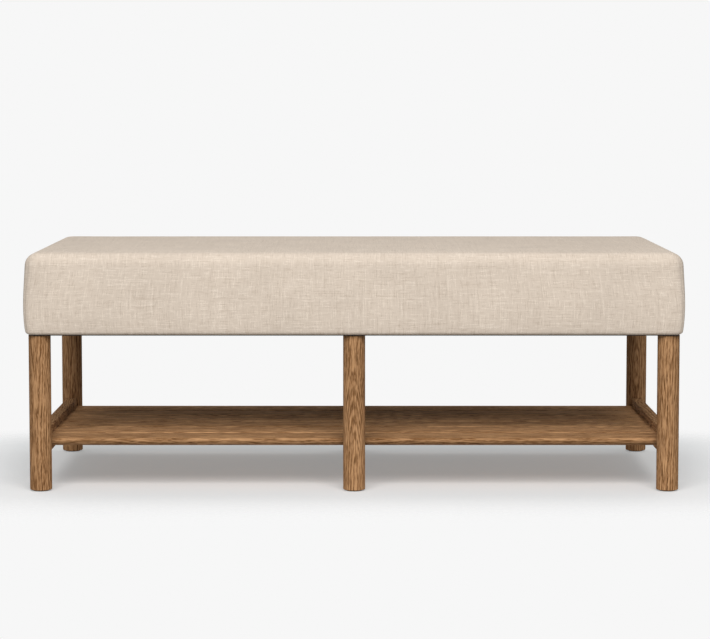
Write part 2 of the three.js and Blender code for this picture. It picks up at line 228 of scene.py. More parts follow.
def cloudy(tree, vector, detail=2.0, roughness=0.5):
    """Soft noise from 0 to 1 at a size of one unit."""
    inputs = {"Vector": vector, "Scale": 1.0, "Detail": detail, "Roughness": roughness}
    return add(tree, "ShaderNodeTexNoise", inputs, noise_dimensions="3D").outputs[0]


def stretch(tree, value, low, high, to_low=0.0, to_high=1.0):
    """Maps a range onto another with soft ends."""
    inputs = {0: value, 1: low, 2: high, 3: to_low, 4: to_high}
    made = add(tree, "ShaderNodeMapRange", inputs, interpolation_type="SMOOTHSTEP")
    return made.outputs[0]


def blend(tree, factor, first, second, mode="MIX"):
    """Two colours mixed by a factor."""
    made = add(tree, "ShaderNodeMix", data_type="RGBA", blend_type=mode)
    for key, value in ((0, factor), (6, first), (7, second)):
        if isinstance(value, bpy.types.NodeSocket):
            tree.links.new(value, made.inputs[key])
        else:
            made.inputs[key].default_value = value
    return made.outputs[2]


def new_material(name, **constants):
    """A material with a Principled shader, whose plain numbers are set on its own sockets."""
    material = bpy.data.materials.new(name)
    material.use_nodes = True
    shader = material.node_tree.nodes["Principled BSDF"]
    for key, value in constants.items():
        shader.inputs[key.replace("_", " ")].default_value = value
    return material, material.node_tree, shader


def bump(tree, height, distance, strength=1.0):
    """A bump from a height, where 1 stands for the given distance in metres."""
    inputs = {"Height": height, "Distance": distance, "Strength": strength}
    return add(tree, "ShaderNodeBump", inputs).outputs[0]


# %% [markdown]
# ## Oak
#
# Every board and post is cut from a log, so its figure comes from one rule: the distance from the heart of the log
# gives the growth rings, and a log that wanders a little turns them into arches on the faces. Fine dark pores and
# paler fibres run along the grain. The pattern reads an attribute that holds each piece's own directions, so one
# material serves posts, rails and slats, and no two pieces look alike.

# %% Oak: colours and growth rings
OAK_PALE = (0.51, 0.285, 0.138, 1.0)
OAK_WARM = (0.20, 0.094, 0.036, 1.0)
OAK_DARK = (0.092, 0.040, 0.015, 1.0)
RING_WIDTH = 0.0052
TONE_STEP = 0.16  # of lightness, for one step of a board's tone
HEART_DISTANCE = 0.034
HEART_WANDER = 0.030
SWAY = 0.014

# %% How fine each part of the figure is: cells in a metre across, deep in and along the grain
BOW_CELLS = (3.0, 3.0, 2.1)
SWAY_CELLS = (14.0, 14.0, 5.0)
FIBRE_CELLS = (600.0, 600.0, 36.0)
PORE_CELLS = (860.0, 860.0, 46.0)
FLECK_CELLS = (620.0, 620.0, 78.0)
PATCH_CELLS = (16.0, 16.0, 3.4)

# %% Oak from growth rings, fibres and pores
def oak_material():
    """Brown stained oak, matt, with its grain along the third axis of the grain attribute."""
    material, tree, shader = new_material("stained_oak", IOR=1.46, Specular_IOR_Level=0.04)
    grain = add(tree, "ShaderNodeAttribute", attribute_name="grain").outputs["Vector"]
    tone = add(tree, "ShaderNodeAttribute", attribute_name="board_tone").outputs["Fac"]

    bow = cloudy(tree, scaled(tree, grain, BOW_CELLS), 1.0)
    sway = cloudy(tree, scaled(tree, grain, SWAY_CELLS), 1.0)
    parts = add(tree, "ShaderNodeSeparateXYZ", {0: grain})
    bowed = calc(tree, "MULTIPLY_ADD", bow, HEART_WANDER * 4.0, HEART_DISTANCE - HEART_WANDER * 2.0)
    across = calc(tree, "MULTIPLY_ADD", sway, SWAY, parts.outputs[0])
    depth = calc(tree, "ADD", parts.outputs[1], bowed)
    squares = calc(tree, "ADD", calc(tree, "MULTIPLY", across, across), calc(tree, "MULTIPLY", depth, depth))
    rings = calc(tree, "DIVIDE", calc(tree, "SQRT", squares), RING_WIDTH)
    wave = calc(tree, "SINE", calc(tree, "MULTIPLY", rings, 2 * math.pi))
    late = stretch(tree, wave, -0.7, 1.0)

    fibres = cloudy(tree, scaled(tree, grain, FIBRE_CELLS), 2.0, 0.6)
    flecks = cloudy(tree, scaled(tree, grain, PORE_CELLS), 1.0)
    pores = stretch(tree, flecks, 0.50, 0.66)
    pale_flecks = stretch(tree, cloudy(tree, scaled(tree, grain, FLECK_CELLS), 1.0), 0.52, 0.68)
    patches = cloudy(tree, scaled(tree, grain, PATCH_CELLS), 2.0)

    share = calc(tree, "MULTIPLY_ADD", late, 0.40, stretch(tree, fibres, 0.36, 0.64, 0.0, 0.62))
    share = calc(tree, "ADD", share, stretch(tree, patches, 0.3, 0.7, -0.16, 0.16))
    colour = blend(tree, stretch(tree, share, 0.05, 0.95), OAK_WARM, OAK_PALE)
    in_early_wood = calc(tree, "MULTIPLY_ADD", late, -0.45, 0.80)
    colour = blend(tree, calc(tree, "MULTIPLY", pores, in_early_wood), colour, OAK_DARK)
    colour = blend(tree, calc(tree, "MULTIPLY", pale_flecks, 0.55), colour, OAK_PALE)
    lightness = calc(tree, "MULTIPLY_ADD", tone, TONE_STEP, 1.0)
    toned = add(tree, "ShaderNodeVectorMath", {0: colour, "Scale": lightness}, operation="SCALE")
    tree.links.new(toned.outputs[0], shader.inputs["Base Color"])

    tree.links.new(stretch(tree, pores, 0.0, 1.0, 0.68, 0.88), shader.inputs["Roughness"])
    height = calc(tree, "SUBTRACT", calc(tree, "MULTIPLY", fibres, 0.5), calc(tree, "MULTIPLY", pores, 0.6))
    tree.links.new(bump(tree, height, 0.00035), shader.inputs["Normal"])
    return material


oak = oak_material()
print("oak nodes:", len(oak.node_tree.nodes))

# %% [markdown]
# The grain attribute holds, for each point of a piece, where it lies across the log, deep in the log and along it.
# It is worked out from the finished mesh, because cutting a joint makes new points that would not have it. A second
# attribute holds the tone of the board: a little random, darker on the posts as painted shade, paler on the slats as
# painted light, and darker along a slat's long edges, partly from stain and partly as painted shade.

# %% Laying the grain
chance = random.Random(20)


def board(centre, directions, tone=0.0):
    """What one board needs for its grain: its middle, its three directions, a place in the log and a tone."""
    offset = Vector((chance.uniform(-0.02, 0.02), chance.uniform(-0.012, 0.012), chance.uniform(0.0, 40.0)))
    return {
        "centre": Vector(centre),
        "directions": [Vector(direction) for direction in directions],
        "offset": offset,
        "tone": tone + chance.uniform(-0.35, 0.35),
    }


def no_edge_darkening(local):
    """Most boards have no darker edges, neither from stain nor from painted shade."""
    return 0.0


def lay_grain(piece, board_at, edge_stain_and_shade=no_edge_darkening):
    """Writes the grain attribute. board_at gives the board of a point, and edge_stain_and_shade its stain and
    painted shade.
    """
    mesh = piece.data
    grains = []
    tones = []
    for vertex in mesh.vertices:
        own = board_at(vertex.co)
        local = vertex.co - own["centre"]
        grains += [local.dot(axis) + shift for axis, shift in zip(own["directions"], own["offset"])]
        tones.append(own["tone"] - edge_stain_and_shade(local))
    mesh.attributes.new("grain", "FLOAT_VECTOR", "POINT").data.foreach_set("vector", grains)
    mesh.attributes.new("board_tone", "FLOAT", "POINT").data.foreach_set("value", tones)


GRAIN_UP = [(1, 0, 0), (0, 1, 0), (0, 0, 1)]
GRAIN_ALONG_X = [(0, 1, 0), (0, 0, 1), (1, 0, 0)]
GRAIN_ALONG_Y = [(0, 0, 1), (1, 0, 0), (0, 1, 0)]

# %% [markdown]
# ## Posts
#
# Six round posts are turned on a lathe, so a turned solid is the natural way to make one: a profile spun round the
# post's axis. The foot has a small rounded edge, which stops it from splintering. Each post then gets the housing
# and the mortise that a rail's end goes into, a hole for its hanger bolt and a hole for the nail of its glide.

# %% Where the posts stand
POSTS = ["front_left", "front_centre", "front_right", "rear_left", "rear_centre", "rear_right"]
POST_SIDES = 96
HOLE_SIDES = 24
NAIL_SIDES = 16
QUARTER_STEPS = 4  # in a quarter of a small rounding
# Painted shade: the posts are made darker than the rest of the oak, to match how the front light falls on them.
POST_TONE_PAINTED_SHADE = -0.8  # below zero is darker than the average board
FOOT_EASE = 0.0018
TOP_EASE = 0.0005


def middle(node):
    """The middle of a CAD piece."""
    low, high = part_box(node)
    return (low + high) / 2


post_low, post_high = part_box("leg_front_left")
post_radius = (post_high.x - post_low.x) / 2
post_places = {name: middle("leg_" + name) for name in POSTS}
print("posts:", round(post_radius * 2000, 1), "mm across,", round((post_high.z - post_low.z) * 1000, 1), "mm long")

# %% Where the rails meet them
SHOULDER_DEPTH = 0.0045  # of a rail's whole section in the post
TENON_THICKNESS = 0.010
TENON_SET_IN = 0.006  # above and below a rail's tenon

rail_boxes = {
    "left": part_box("side_rail_left"),
    "centre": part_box("centre_rail"),
    "right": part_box("side_rail_right"),
}


def rail_of(post):
    """The name and the box of the rail that ends in a post."""
    name = post.split("_")[1]
    return name, rail_boxes[name]


for name, (low, high) in rail_boxes.items():
    print("rail", name, "is", [round((b - a) * 1000, 1) for a, b in zip(low, high)], "mm with its tenons")

# %% One post
bolt_low, bolt_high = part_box("hanger_bolt_front_left")
bolt_radius = (bolt_high.x - bolt_low.x) / 2
NAIL_RADIUS = 0.0013
nail_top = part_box("glide_front_left")[1].z


def quarter_round(radius):
    """How far a rounding lies inside the side and above the foot, from the foot up."""
    turns = [math.radians(90 * step / QUARTER_STEPS) for step in range(QUARTER_STEPS + 1)]
    return [(radius * (1 - math.sin(turn)), radius * (1 - math.cos(turn))) for turn in turns]


def post_profile():
    """The post's outline from the middle of its foot to the middle of its top."""
    profile = [(0.0, post_low.z)]
    for inset, rise in quarter_round(FOOT_EASE):
        profile.append((post_radius - inset, post_low.z + rise))
    profile.append((post_radius, post_high.z - TOP_EASE))
    profile.append((post_radius - TOP_EASE, post_high.z))
    profile.append((0.0, post_high.z))
    return profile


def rail_sockets(name):
    """The housing for a rail's section and the deeper mortise for its tenon, as cutters."""
    place = post_places[name]
    inwards = -math.copysign(1.0, place.y)
    low, high = rail_of(name)[1]
    mouth = place.y + inwards * 2 * post_radius
    shoulder = place.y + inwards * (post_radius - SHOULDER_DEPTH - CLEARANCE)
    tip = (high.y if place.y > 0 else low.y) - inwards * CLEARANCE
    half = TENON_THICKNESS / 2 + CLEARANCE
    housing = block(
        "housing",
        (low.x - CLEARANCE, min(shoulder, mouth), low.z - CLEARANCE),
        (high.x + CLEARANCE, max(shoulder, mouth), high.z + CLEARANCE),
    )
    mortise = block(
        "mortise",
        (place.x - half, min(tip, mouth), low.z + TENON_SET_IN - CLEARANCE),
        (place.x + half, max(tip, mouth), high.z - TENON_SET_IN + CLEARANCE),
    )
    return [housing, mortise]


def make_post(name):
    """A turned post with its joints and holes."""
    place = post_places[name]
    post = turned("post_" + name, post_profile(), POST_SIDES, (place.x, place.y))
    bolt_hole = cylinder_profile(bolt_radius + CLEARANCE, bolt_low.z - CLEARANCE, post_high.z + OVERRUN)
    nail_hole = cylinder_profile(NAIL_RADIUS, post_low.z - OVERRUN, nail_top)
    cutters = rail_sockets(name)
    cutters.append(turned("bolt_hole", bolt_hole, HOLE_SIDES, (place.x, place.y)))
    cutters.append(turned("nail_hole", nail_hole, NAIL_SIDES, (place.x, place.y)))
    combine(post, "DIFFERENCE", *cutters)
    wood = board(place, GRAIN_UP, POST_TONE_PAINTED_SHADE)
    lay_grain(post, lambda point: wood)
    return soften(post)


for name in POSTS:
    finish_piece(make_post(name), oak, ["leg_" + name])

# %% [markdown]
# ## Rails
#
# A rail joins each front post to the post behind it. Its long edges are rounded by a few millimetres, so a straight
# extrusion of a rounded rectangle gives the bar, and a block through its length gives both tenons. The two side
# rails have a row of mortises for the slats, and the low rail in the middle has holes for the screws.

# %% A bar with rounded edges
RAIL_ROUNDING = 0.003
ROUNDING_STEPS = 5


def rounded_outline(width, height, radius, steps):
    """The points of a rounded rectangle round the origin, counter-clockwise."""
    points = []
    for turn, (side_x, side_y) in enumerate([(1, 1), (-1, 1), (-1, -1), (1, -1)]):
        centre_x = side_x * (width / 2 - radius)
        centre_y = side_y * (height / 2 - radius)
        for step in range(steps + 1):
            angle = math.radians(90 * turn + 90 * step / steps)
            points.append((centre_x + radius * math.cos(angle), centre_y + radius * math.sin(angle)))
    return points


def bar_along_y(name, low, high, radius):
    """A bar along Y between two corners, with its four long edges rounded."""
    outline = rounded_outline(high.x - low.x, high.z - low.z, radius, ROUNDING_STEPS)
    centre_x = (low.x + high.x) / 2
    centre_z = (low.z + high.z) / 2

    def build(shape):
        ends = []
        for y in (low.y, high.y):
            ends.append([shape.verts.new((centre_x + a, y, centre_z + b)) for a, b in outline])
        count = len(outline)
        for index in range(count):
            after = (index + 1) % count
            shape.faces.new((ends[0][index], ends[0][after], ends[1][after], ends[1][index]))
        shape.faces.new(ends[0])
        shape.faces.new(reversed(ends[1]))
        bmesh.ops.recalc_face_normals(shape, faces=shape.faces)

    return object_of(name, mesh_of(name, build))


# %% What the slats take out of the rails
SLAT_NODES = sorted(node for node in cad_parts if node.startswith("slat_") and "screw" not in node)
SLAT_TENON_THICKNESS = 0.007
SLAT_TENON_SET_IN = 0.009  # on each side of a slat's tenon

slat_boxes = [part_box(node) for node in SLAT_NODES]
slat_low, slat_high = slat_boxes[0]
slat_reach = slat_high.x
slat_width = slat_high.y - slat_low.y
slat_thickness = slat_high.z - slat_low.z
slat_pitch = slat_boxes[1][0].y - slat_low.y
print(len(SLAT_NODES), "slats,", round(slat_width * 1000, 1), "mm wide,", round(slat_pitch * 1000, 1), "mm apart")


def slat_mortises(side):
    """A cutter for each slat's tenon, on one side."""
    face = rail_boxes["right"][0].x
    inner = side * (face - 2 * OVERRUN)
    outer = side * (slat_reach + CLEARANCE)
    base = (slat_low.z + slat_high.z - SLAT_TENON_THICKNESS) / 2
    cutters = []
    for low, high in slat_boxes:
        start = (min(inner, outer), low.y + SLAT_TENON_SET_IN - CLEARANCE, base - CLEARANCE)
        stop_z = base + SLAT_TENON_THICKNESS + CLEARANCE
        stop = (max(inner, outer), high.y - SLAT_TENON_SET_IN + CLEARANCE, stop_z)
        cutters.append(block("slat_mortise", start, stop))
    return cutters


# %% The screws that hold the slats to the middle rail
SCREW_NODES = sorted(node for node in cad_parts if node.startswith("slat_screw"))
SCREW_SHANK = 0.0018
SCREW_HEAD_DEPTH = 0.0026
SCREW_HEAD_EDGE = 0.0003
SCREW_TURN = 0.7  # radians from one cross recess to the next

screw_boxes = [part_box(node) for node in SCREW_NODES]
screw_low, screw_high = screw_boxes[0]
screw_head = (screw_high.x - screw_low.x) / 2


def screw_holes():
    """A countersunk cutter for each screw."""
    head = screw_head + CLEARANCE
    shank = SCREW_SHANK + CLEARANCE
    base = screw_low.z
    top = screw_high.z + CLEARANCE
    profile = [(0.0, base - OVERRUN), (head, base - OVERRUN), (head, base + CLEARANCE)]
    profile += [(shank, base + SCREW_HEAD_DEPTH + CLEARANCE), (shank, top), (0.0, top)]
    return [turned("screw_hole", profile, HOLE_SIDES, (0.0, (low.y + high.y) / 2)) for low, high in screw_boxes]


# %% The three rails
RAILS = {"left": "side_rail_left", "centre": "centre_rail", "right": "side_rail_right"}


def make_rail(name):
    """A rail with its tenons and with what its neighbours need cut out of it."""
    low, high = rail_boxes[name]
    axis = post_places["rear_" + name].y
    shoulder = axis - post_radius + SHOULDER_DEPTH
    start = Vector((low.x, -shoulder, low.z))
    stop = Vector((high.x, shoulder, high.z))
    rail = bar_along_y("rail_" + name, start, stop, RAIL_ROUNDING)
    centre_x = (low.x + high.x) / 2
    tenon = block(
        "tenon",
        (centre_x - TENON_THICKNESS / 2, low.y, low.z + TENON_SET_IN),
        (centre_x + TENON_THICKNESS / 2, high.y, high.z - TENON_SET_IN),
    )
    combine(rail, "UNION", tenon)
    if name == "centre":
        combine(rail, "DIFFERENCE", *screw_holes())
    else:
        combine(rail, "DIFFERENCE", *slat_mortises(math.copysign(1.0, centre_x)))
    wood = board((low + high) / 2, GRAIN_ALONG_Y)
    lay_grain(rail, lambda point: wood)
    return soften(rail)


for name, node in RAILS.items():
    finish_piece(make_rail(name), oak, [node])

# %% [markdown]
# ## Shelf slats
#
# Six equal boards, one pitch apart, are the clearest case for Geometry Nodes: one board is drawn by its section and
# length, and a line of points repeats it. The sizes are named inputs of the tree, so another shelf is a matter of
# other numbers. The boards are then scribed round the posts and bored for their screws.

# %% A tree that repeats a board
def new_tree(name, sizes):
    """An empty Geometry Nodes tree with named inputs, given as {name: socket type}."""
    tree = bpy.data.node_groups.new(name, "GeometryNodeTree")
    tree.interface.new_socket("Geometry", in_out="INPUT", socket_type="NodeSocketGeometry")
    for label, kind in sizes.items():
        tree.interface.new_socket(label, in_out="INPUT", socket_type=kind)
    tree.interface.new_socket("Geometry", in_out="OUTPUT", socket_type="NodeSocketGeometry")
    given = tree.nodes.new("NodeGroupInput").outputs
    return tree, given


def close_tree(tree, given, geometry):
    """Ends a tree: real geometry, its material, and the output."""
    realised = add(tree, "GeometryNodeRealizeInstances", {"Geometry": geometry}).outputs[0]
    finished = add(tree, "GeometryNodeSetMaterial", {"Geometry": realised, "Material": given["Finish"]})
    out = tree.nodes.new("NodeGroupOutput")
    tree.links.new(finished.outputs[0], out.inputs[0])
    return tree


def grow(name, mesh, tree, values):
    """Runs a tree on a mesh with its inputs set by identifier, and keeps the result as a plain mesh."""
    piece = object_of(name, mesh)
    step = piece.modifiers.new("grow", "NODES")
    step.node_group = tree
    for item in tree.interface.items_tree:
        if item.in_out == "INPUT" and item.name in values:
            step[item.identifier] = values[item.name]
    return bake_modifiers(piece)


FILLET_POINTS = 6  # on each rounded edge of a board


def slat_tree():
    """Boards along X, side by side along Y, with a tenon at each end."""
    numbers = ["Length", "Width", "Thickness", "Edge Rounding", "Pitch", "First Place", "Height"]
    numbers += ["Tenon Length", "Tenon Width", "Tenon Thickness"]
    sizes = {label: "NodeSocketFloat" for label in numbers}
    sizes["Count"] = "NodeSocketInt"
    sizes["Finish"] = "NodeSocketMaterial"
    tree, given = new_tree("slats", sizes)

    def vector(x=0.0, y=0.0, z=0.0):
        return add(tree, "ShaderNodeCombineXYZ", {0: x, 1: y, 2: z}).outputs[0]

    half = calc(tree, "MULTIPLY", given["Length"], 0.5)
    path = add(
        tree,
        "GeometryNodeCurvePrimitiveLine",
        {"Start": vector(calc(tree, "MULTIPLY", half, -1.0)), "End": vector(half)},
    )
    outline = add(
        tree,
        "GeometryNodeCurvePrimitiveQuadrilateral",
        {"Width": given["Width"], "Height": given["Thickness"]},
    )
    rounded = add(tree, "GeometryNodeFilletCurve", {"Curve": outline.outputs[0], "Radius": given["Edge Rounding"]})
    rounded.mode = "POLY"
    rounded.inputs["Count"].default_value = FILLET_POINTS
    swept = add(
        tree,
        "GeometryNodeCurveToMesh",
        {"Curve": path.outputs[0], "Profile Curve": rounded.outputs[0], "Fill Caps": True},
    )
    reach = calc(tree, "MULTIPLY_ADD", given["Tenon Length"], 2.0, given["Length"])
    tenon_size = vector(reach, given["Tenon Width"], given["Tenon Thickness"])
    tenons = add(tree, "GeometryNodeMeshCube", {"Size": tenon_size}).outputs[0]
    joined = tree.nodes.new("GeometryNodeMeshBoolean")
    joined.operation = "UNION"
    joined.solver = "EXACT"
    tree.links.new(swept.outputs[0], joined.inputs["Mesh 2"])
    tree.links.new(tenons, joined.inputs["Mesh 2"])
    places = add(
        tree,
        "GeometryNodeMeshLine",
        {
            "Count": given["Count"],
            "Start Location": vector(0.0, given["First Place"], given["Height"]),
            "Offset": vector(0.0, given["Pitch"], 0.0),
        },
        mode="OFFSET",
    )
    repeated = add(
        tree,
        "GeometryNodeInstanceOnPoints",
        {"Points": places.outputs[0], "Instance": joined.outputs[0]},
    )
    return close_tree(tree, given, repeated.outputs[0])


# %% The shelf
SLAT_ROUNDING = 0.006
SLAT_TENON_LENGTH = 0.009
# Painted light: the slats are made paler than the other oak, in place of the light that the seat keeps off the
# shelf.
SLAT_TONE_PAINTED_LIGHT = 2.0
# The long edges of the slats are darker: partly stain, partly painted shade on the lit top rounding and on the lower
# part.
EDGE_STAIN_AND_SHADE = 0.8  # added darkness of a long edge at its top
EDGE_SHADE_BELOW = 6.0  # and what comes on top of that at its foot

slat_values = {
    "Length": 2 * (slat_reach - SLAT_TENON_LENGTH - CLEARANCE),
    "Width": slat_width,
    "Thickness": slat_thickness,
    "Edge Rounding": SLAT_ROUNDING,
    "Pitch": slat_pitch,
    "First Place": (slat_low.y + slat_high.y) / 2,
    "Height": (slat_low.z + slat_high.z) / 2,
    "Tenon Length": SLAT_TENON_LENGTH + CLEARANCE,
    "Tenon Width": slat_width - 2 * SLAT_TENON_SET_IN,
    "Tenon Thickness": SLAT_TENON_THICKNESS,
    "Count": len(SLAT_NODES),
    "Finish": oak,
}
slats = grow("shelf_slats", bpy.data.meshes.new("shelf_slats"), slat_tree(), slat_values)
print("slats as swept:", [round(x, 4) for x in slats.dimensions])

# %% Scribed round the posts, bored for the screws, and given their grain
def post_cutters():
    """A cutter a little wider than each post, over the height of the slats."""
    profile = cylinder_profile(post_radius + CLEARANCE, slat_low.z - 2 * OVERRUN, slat_high.z + 2 * OVERRUN)
    return [turned("scribe", profile, POST_SIDES, (place.x, place.y)) for place in post_places.values()]


combine(slats, "DIFFERENCE", *post_cutters(), *screw_holes())
slat_boards = [board((low + high) / 2, GRAIN_ALONG_X, SLAT_TONE_PAINTED_LIGHT) for low, high in slat_boxes]


def board_of_slat(point):
    """The slat that a point belongs to."""
    index = int((point.y - slat_low.y + (slat_pitch - slat_width) / 2) / slat_pitch)
    return slat_boards[max(0, min(len(slat_boards) - 1, index))]


def slat_edge_stain_and_shade(local):
    """The long edges of a slat are darker than its face: partly stain, and painted shade, most of all on the lower
    part.
    """
    edge = max(0.0, (abs(local.y) - slat_width / 2) / SLAT_ROUNDING + 1.0)
    below = 0.5 - local.z / slat_thickness
    return edge * (EDGE_STAIN_AND_SHADE + EDGE_SHADE_BELOW * below)


lay_grain(slats, board_of_slat, slat_edge_stain_and_shade)
soften(slats)
finish_piece(slats, oak, SLAT_NODES)

# %% [markdown]
# ## Screws and glides
#
# Small fittings that repeat are modelled once and placed by Geometry Nodes on a few points, which hold where each
# one goes and how it is turned. A screw has a countersunk head with a cross recess. A glide is a nylon button with
# a nail, under each post.

# %% A tree that repeats a shape on points
def repeat_tree():
    """The shape of another object, on every point, turned about Z by the point's own turn."""
    sizes = {"Shape": "NodeSocketObject", "Size": "NodeSocketFloat", "Finish": "NodeSocketMaterial"}
    tree, given = new_tree("repeat", sizes)
    shape = add(tree, "GeometryNodeObjectInfo", {"Object": given["Shape"]})
    turn = add(tree, "GeometryNodeInputNamedAttribute", data_type="FLOAT")
    turn.inputs["Name"].default_value = "turn"
    angles = add(tree, "ShaderNodeCombineXYZ", {2: turn.outputs[0]})
    rotation = add(tree, "FunctionNodeEulerToRotation", {0: angles.outputs[0]})
    repeated = add(
        tree,
        "GeometryNodeInstanceOnPoints",
        {
            "Points": given["Geometry"],
            "Instance": shape.outputs["Geometry"],
            "Rotation": rotation.outputs[0],
            "Scale": given["Size"],
        },
    )
    return close_tree(tree, given, repeated.outputs[0])


repeat_shape = repeat_tree()


def repeated(name, shape, places, material):
    """One mesh with a shape at each (x, y, z, turn)."""
    points = bpy.data.meshes.new(name)
    points.from_pydata([place[:3] for place in places], [], [])
    turn = points.attributes.new("turn", "FLOAT", "POINT")
    for index, place in enumerate(places):
        turn.data[index].value = place[3]
    made = grow(name, points, repeat_shape, {"Shape": shape, "Size": 1.0, "Finish": material})
    discard(shape)
    return made


# %% [markdown]
# The screws and the bolts are zinc-plated steel, bright but a little cloudy. The glides are dark brown nylon, so
# that they do not show under the posts.

# %% Steel and nylon
def steel_material():
    """Zinc-plated steel with a cloudy, slightly uneven gloss."""
    material, tree, shader = new_material("zinc_steel", Metallic=1.0)
    place = add(tree, "ShaderNodeTexCoord").outputs["Object"]
    clouds = cloudy(tree, scaled(tree, place, (260.0, 260.0, 260.0)), 3.0)
    colour = blend(tree, clouds, (0.50, 0.50, 0.49, 1.0), (0.72, 0.71, 0.68, 1.0))
    tree.links.new(colour, shader.inputs["Base Color"])
    tree.links.new(stretch(tree, clouds, 0.2, 0.8, 0.28, 0.46), shader.inputs["Roughness"])
    tree.links.new(bump(tree, clouds, 0.00003), shader.inputs["Normal"])
    return material


def nylon_material():
    """Dark brown nylon, scuffed by the floor."""
    material, tree, shader = new_material("nylon", IOR=1.53)
    place = add(tree, "ShaderNodeTexCoord").outputs["Object"]
    scuffs = cloudy(tree, scaled(tree, place, (900.0, 240.0, 500.0)), 3.0, 0.6)
    colour = blend(tree, scuffs, (0.085, 0.062, 0.043, 1.0), (0.135, 0.100, 0.070, 1.0))
    tree.links.new(colour, shader.inputs["Base Color"])
    tree.links.new(stretch(tree, scuffs, 0.3, 0.7, 0.38, 0.60), shader.inputs["Roughness"])
    tree.links.new(bump(tree, scuffs, 0.00005), shader.inputs["Normal"])
    return material


steel = steel_material()
nylon = nylon_material()

# %% The slat screws
RECESS_LENGTH = 0.0040
RECESS_WIDTH = 0.0009
RECESS_DEPTH = 0.0013
CRISP_EDGE = 30  # degrees, above which an edge of a small fitting stays crisp


def screw_shape():
    """A countersunk screw with its head at height 0, head down, and a cross recess."""
    length = screw_high.z - screw_low.z
    profile = [(0.0, 0.0), (screw_head, 0.0), (screw_head, SCREW_HEAD_EDGE), (SCREW_SHANK, SCREW_HEAD_DEPTH)]
    profile += [(SCREW_SHANK, length - SCREW_SHANK), (0.0, length)]
    screw = turned("screw", profile, HOLE_SIDES)
    half_length = RECESS_LENGTH / 2
    half_width = RECESS_WIDTH / 2
    first = block("recess", (-half_length, -half_width, -OVERRUN), (half_length, half_width, RECESS_DEPTH))
    second = block("recess", (-half_width, -half_length, -OVERRUN), (half_width, half_length, RECESS_DEPTH))
    return soften(combine(screw, "DIFFERENCE", first, second), CRISP_EDGE)


screw_places = []
for index, (low, high) in enumerate(screw_boxes):
    screw_places.append((0.0, (low.y + high.y) / 2, low.z, SCREW_TURN * index))
screws = repeated("slat_screws_countersunk", screw_shape(), screw_places, steel)
finish_piece(screws, steel, SCREW_NODES)

# %% The glides
GLIDE_THICKNESS = 0.002
GLIDE_ROUNDING = 0.0007
GLIDE_SIDES = 40


def glide_shape():
    """A flat button with a rounded rim and a nail that goes up into the post."""
    low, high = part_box("glide_front_left")
    radius = (high.x - low.x) / 2
    profile = [(0.0, 0.0)]
    profile += [(radius - inset, rise) for inset, rise in quarter_round(GLIDE_ROUNDING)]
    profile += [(radius, GLIDE_THICKNESS), (NAIL_RADIUS, GLIDE_THICKNESS)]
    profile += [(NAIL_RADIUS, high.z - NAIL_RADIUS), (0.0, high.z)]
    return soften(turned("glide", profile, GLIDE_SIDES), CRISP_EDGE)


glide_places = [(place.x, place.y, 0.0, 0.0) for place in post_places.values()]
glides = repeated("floor_glides", glide_shape(), glide_places, nylon)
finish_piece(glides, nylon, ["glide_" + name for name in POSTS])

# %% [markdown]
# ## Linen cover
#
# The cover is a plain weave of thick, uneven yarn. Each thread has its own tone, which changes along it where the
# yarn is thicker or paler, and threads pass over and under each other in turn. The pattern reads a flat map of the
# cloth in metres, so the threads run over the front edge as they do on a real seat.

# %% Linen from crossing threads
LINEN_PALE = (0.78, 0.68, 0.575, 1.0)
LINEN_MID = (0.640, 0.545, 0.452, 1.0)
LINEN_DEEP = (0.490, 0.402, 0.320, 1.0)
THREAD_PITCH = 0.0015
SLUB_LENGTH = 0.021
DRIFT_SHARE = 0.12  # how fast a whole thread changes, against its slubs
WHOLE_SHARE = 0.32  # how much of a thread's tone comes from the whole thread
THREAD_STEP = 7.31  # from one thread to the next in the noise, so that neighbours differ


def thread(tree, index, along, seed):
    """The tone of a thread from 0 to 1, from its number and the place along it."""
    row = calc(tree, "MULTIPLY_ADD", index, THREAD_STEP, seed)
    run = calc(tree, "DIVIDE", along, SLUB_LENGTH)
    slubs = cloudy(tree, add(tree, "ShaderNodeCombineXYZ", {0: row, 1: run, 2: seed}).outputs[0], 1.0)
    drift = calc(tree, "MULTIPLY", run, DRIFT_SHARE)
    whole = cloudy(tree, add(tree, "ShaderNodeCombineXYZ", {0: row, 1: drift, 2: seed + 20.0}).outputs[0], 0.0)
    return add(tree, "ShaderNodeMix", {0: WHOLE_SHARE, 2: slubs, 3: whole}).outputs[0]


def thread_colour(tree, tone):
    """Most of a thread is even, with some deeper and some paler stretches."""
    deeper = stretch(tree, tone, 0.48, 0.30)
    paler = stretch(tree, tone, 0.53, 0.68)
    colour = blend(tree, deeper, LINEN_MID, LINEN_DEEP)
    return blend(tree, paler, colour, LINEN_PALE)


def thread_height(tree, across, along, number):
    """The height of one set of threads: round across, and rising and sinking along their length."""
    round_part = calc(tree, "SINE", calc(tree, "MULTIPLY", calc(tree, "FRACT", across), math.pi))
    swing = calc(tree, "COSINE", calc(tree, "MULTIPLY", calc(tree, "ADD", along, number), math.pi))
    return calc(tree, "MULTIPLY", round_part, calc(tree, "MULTIPLY_ADD", swing, 0.5, 0.5))


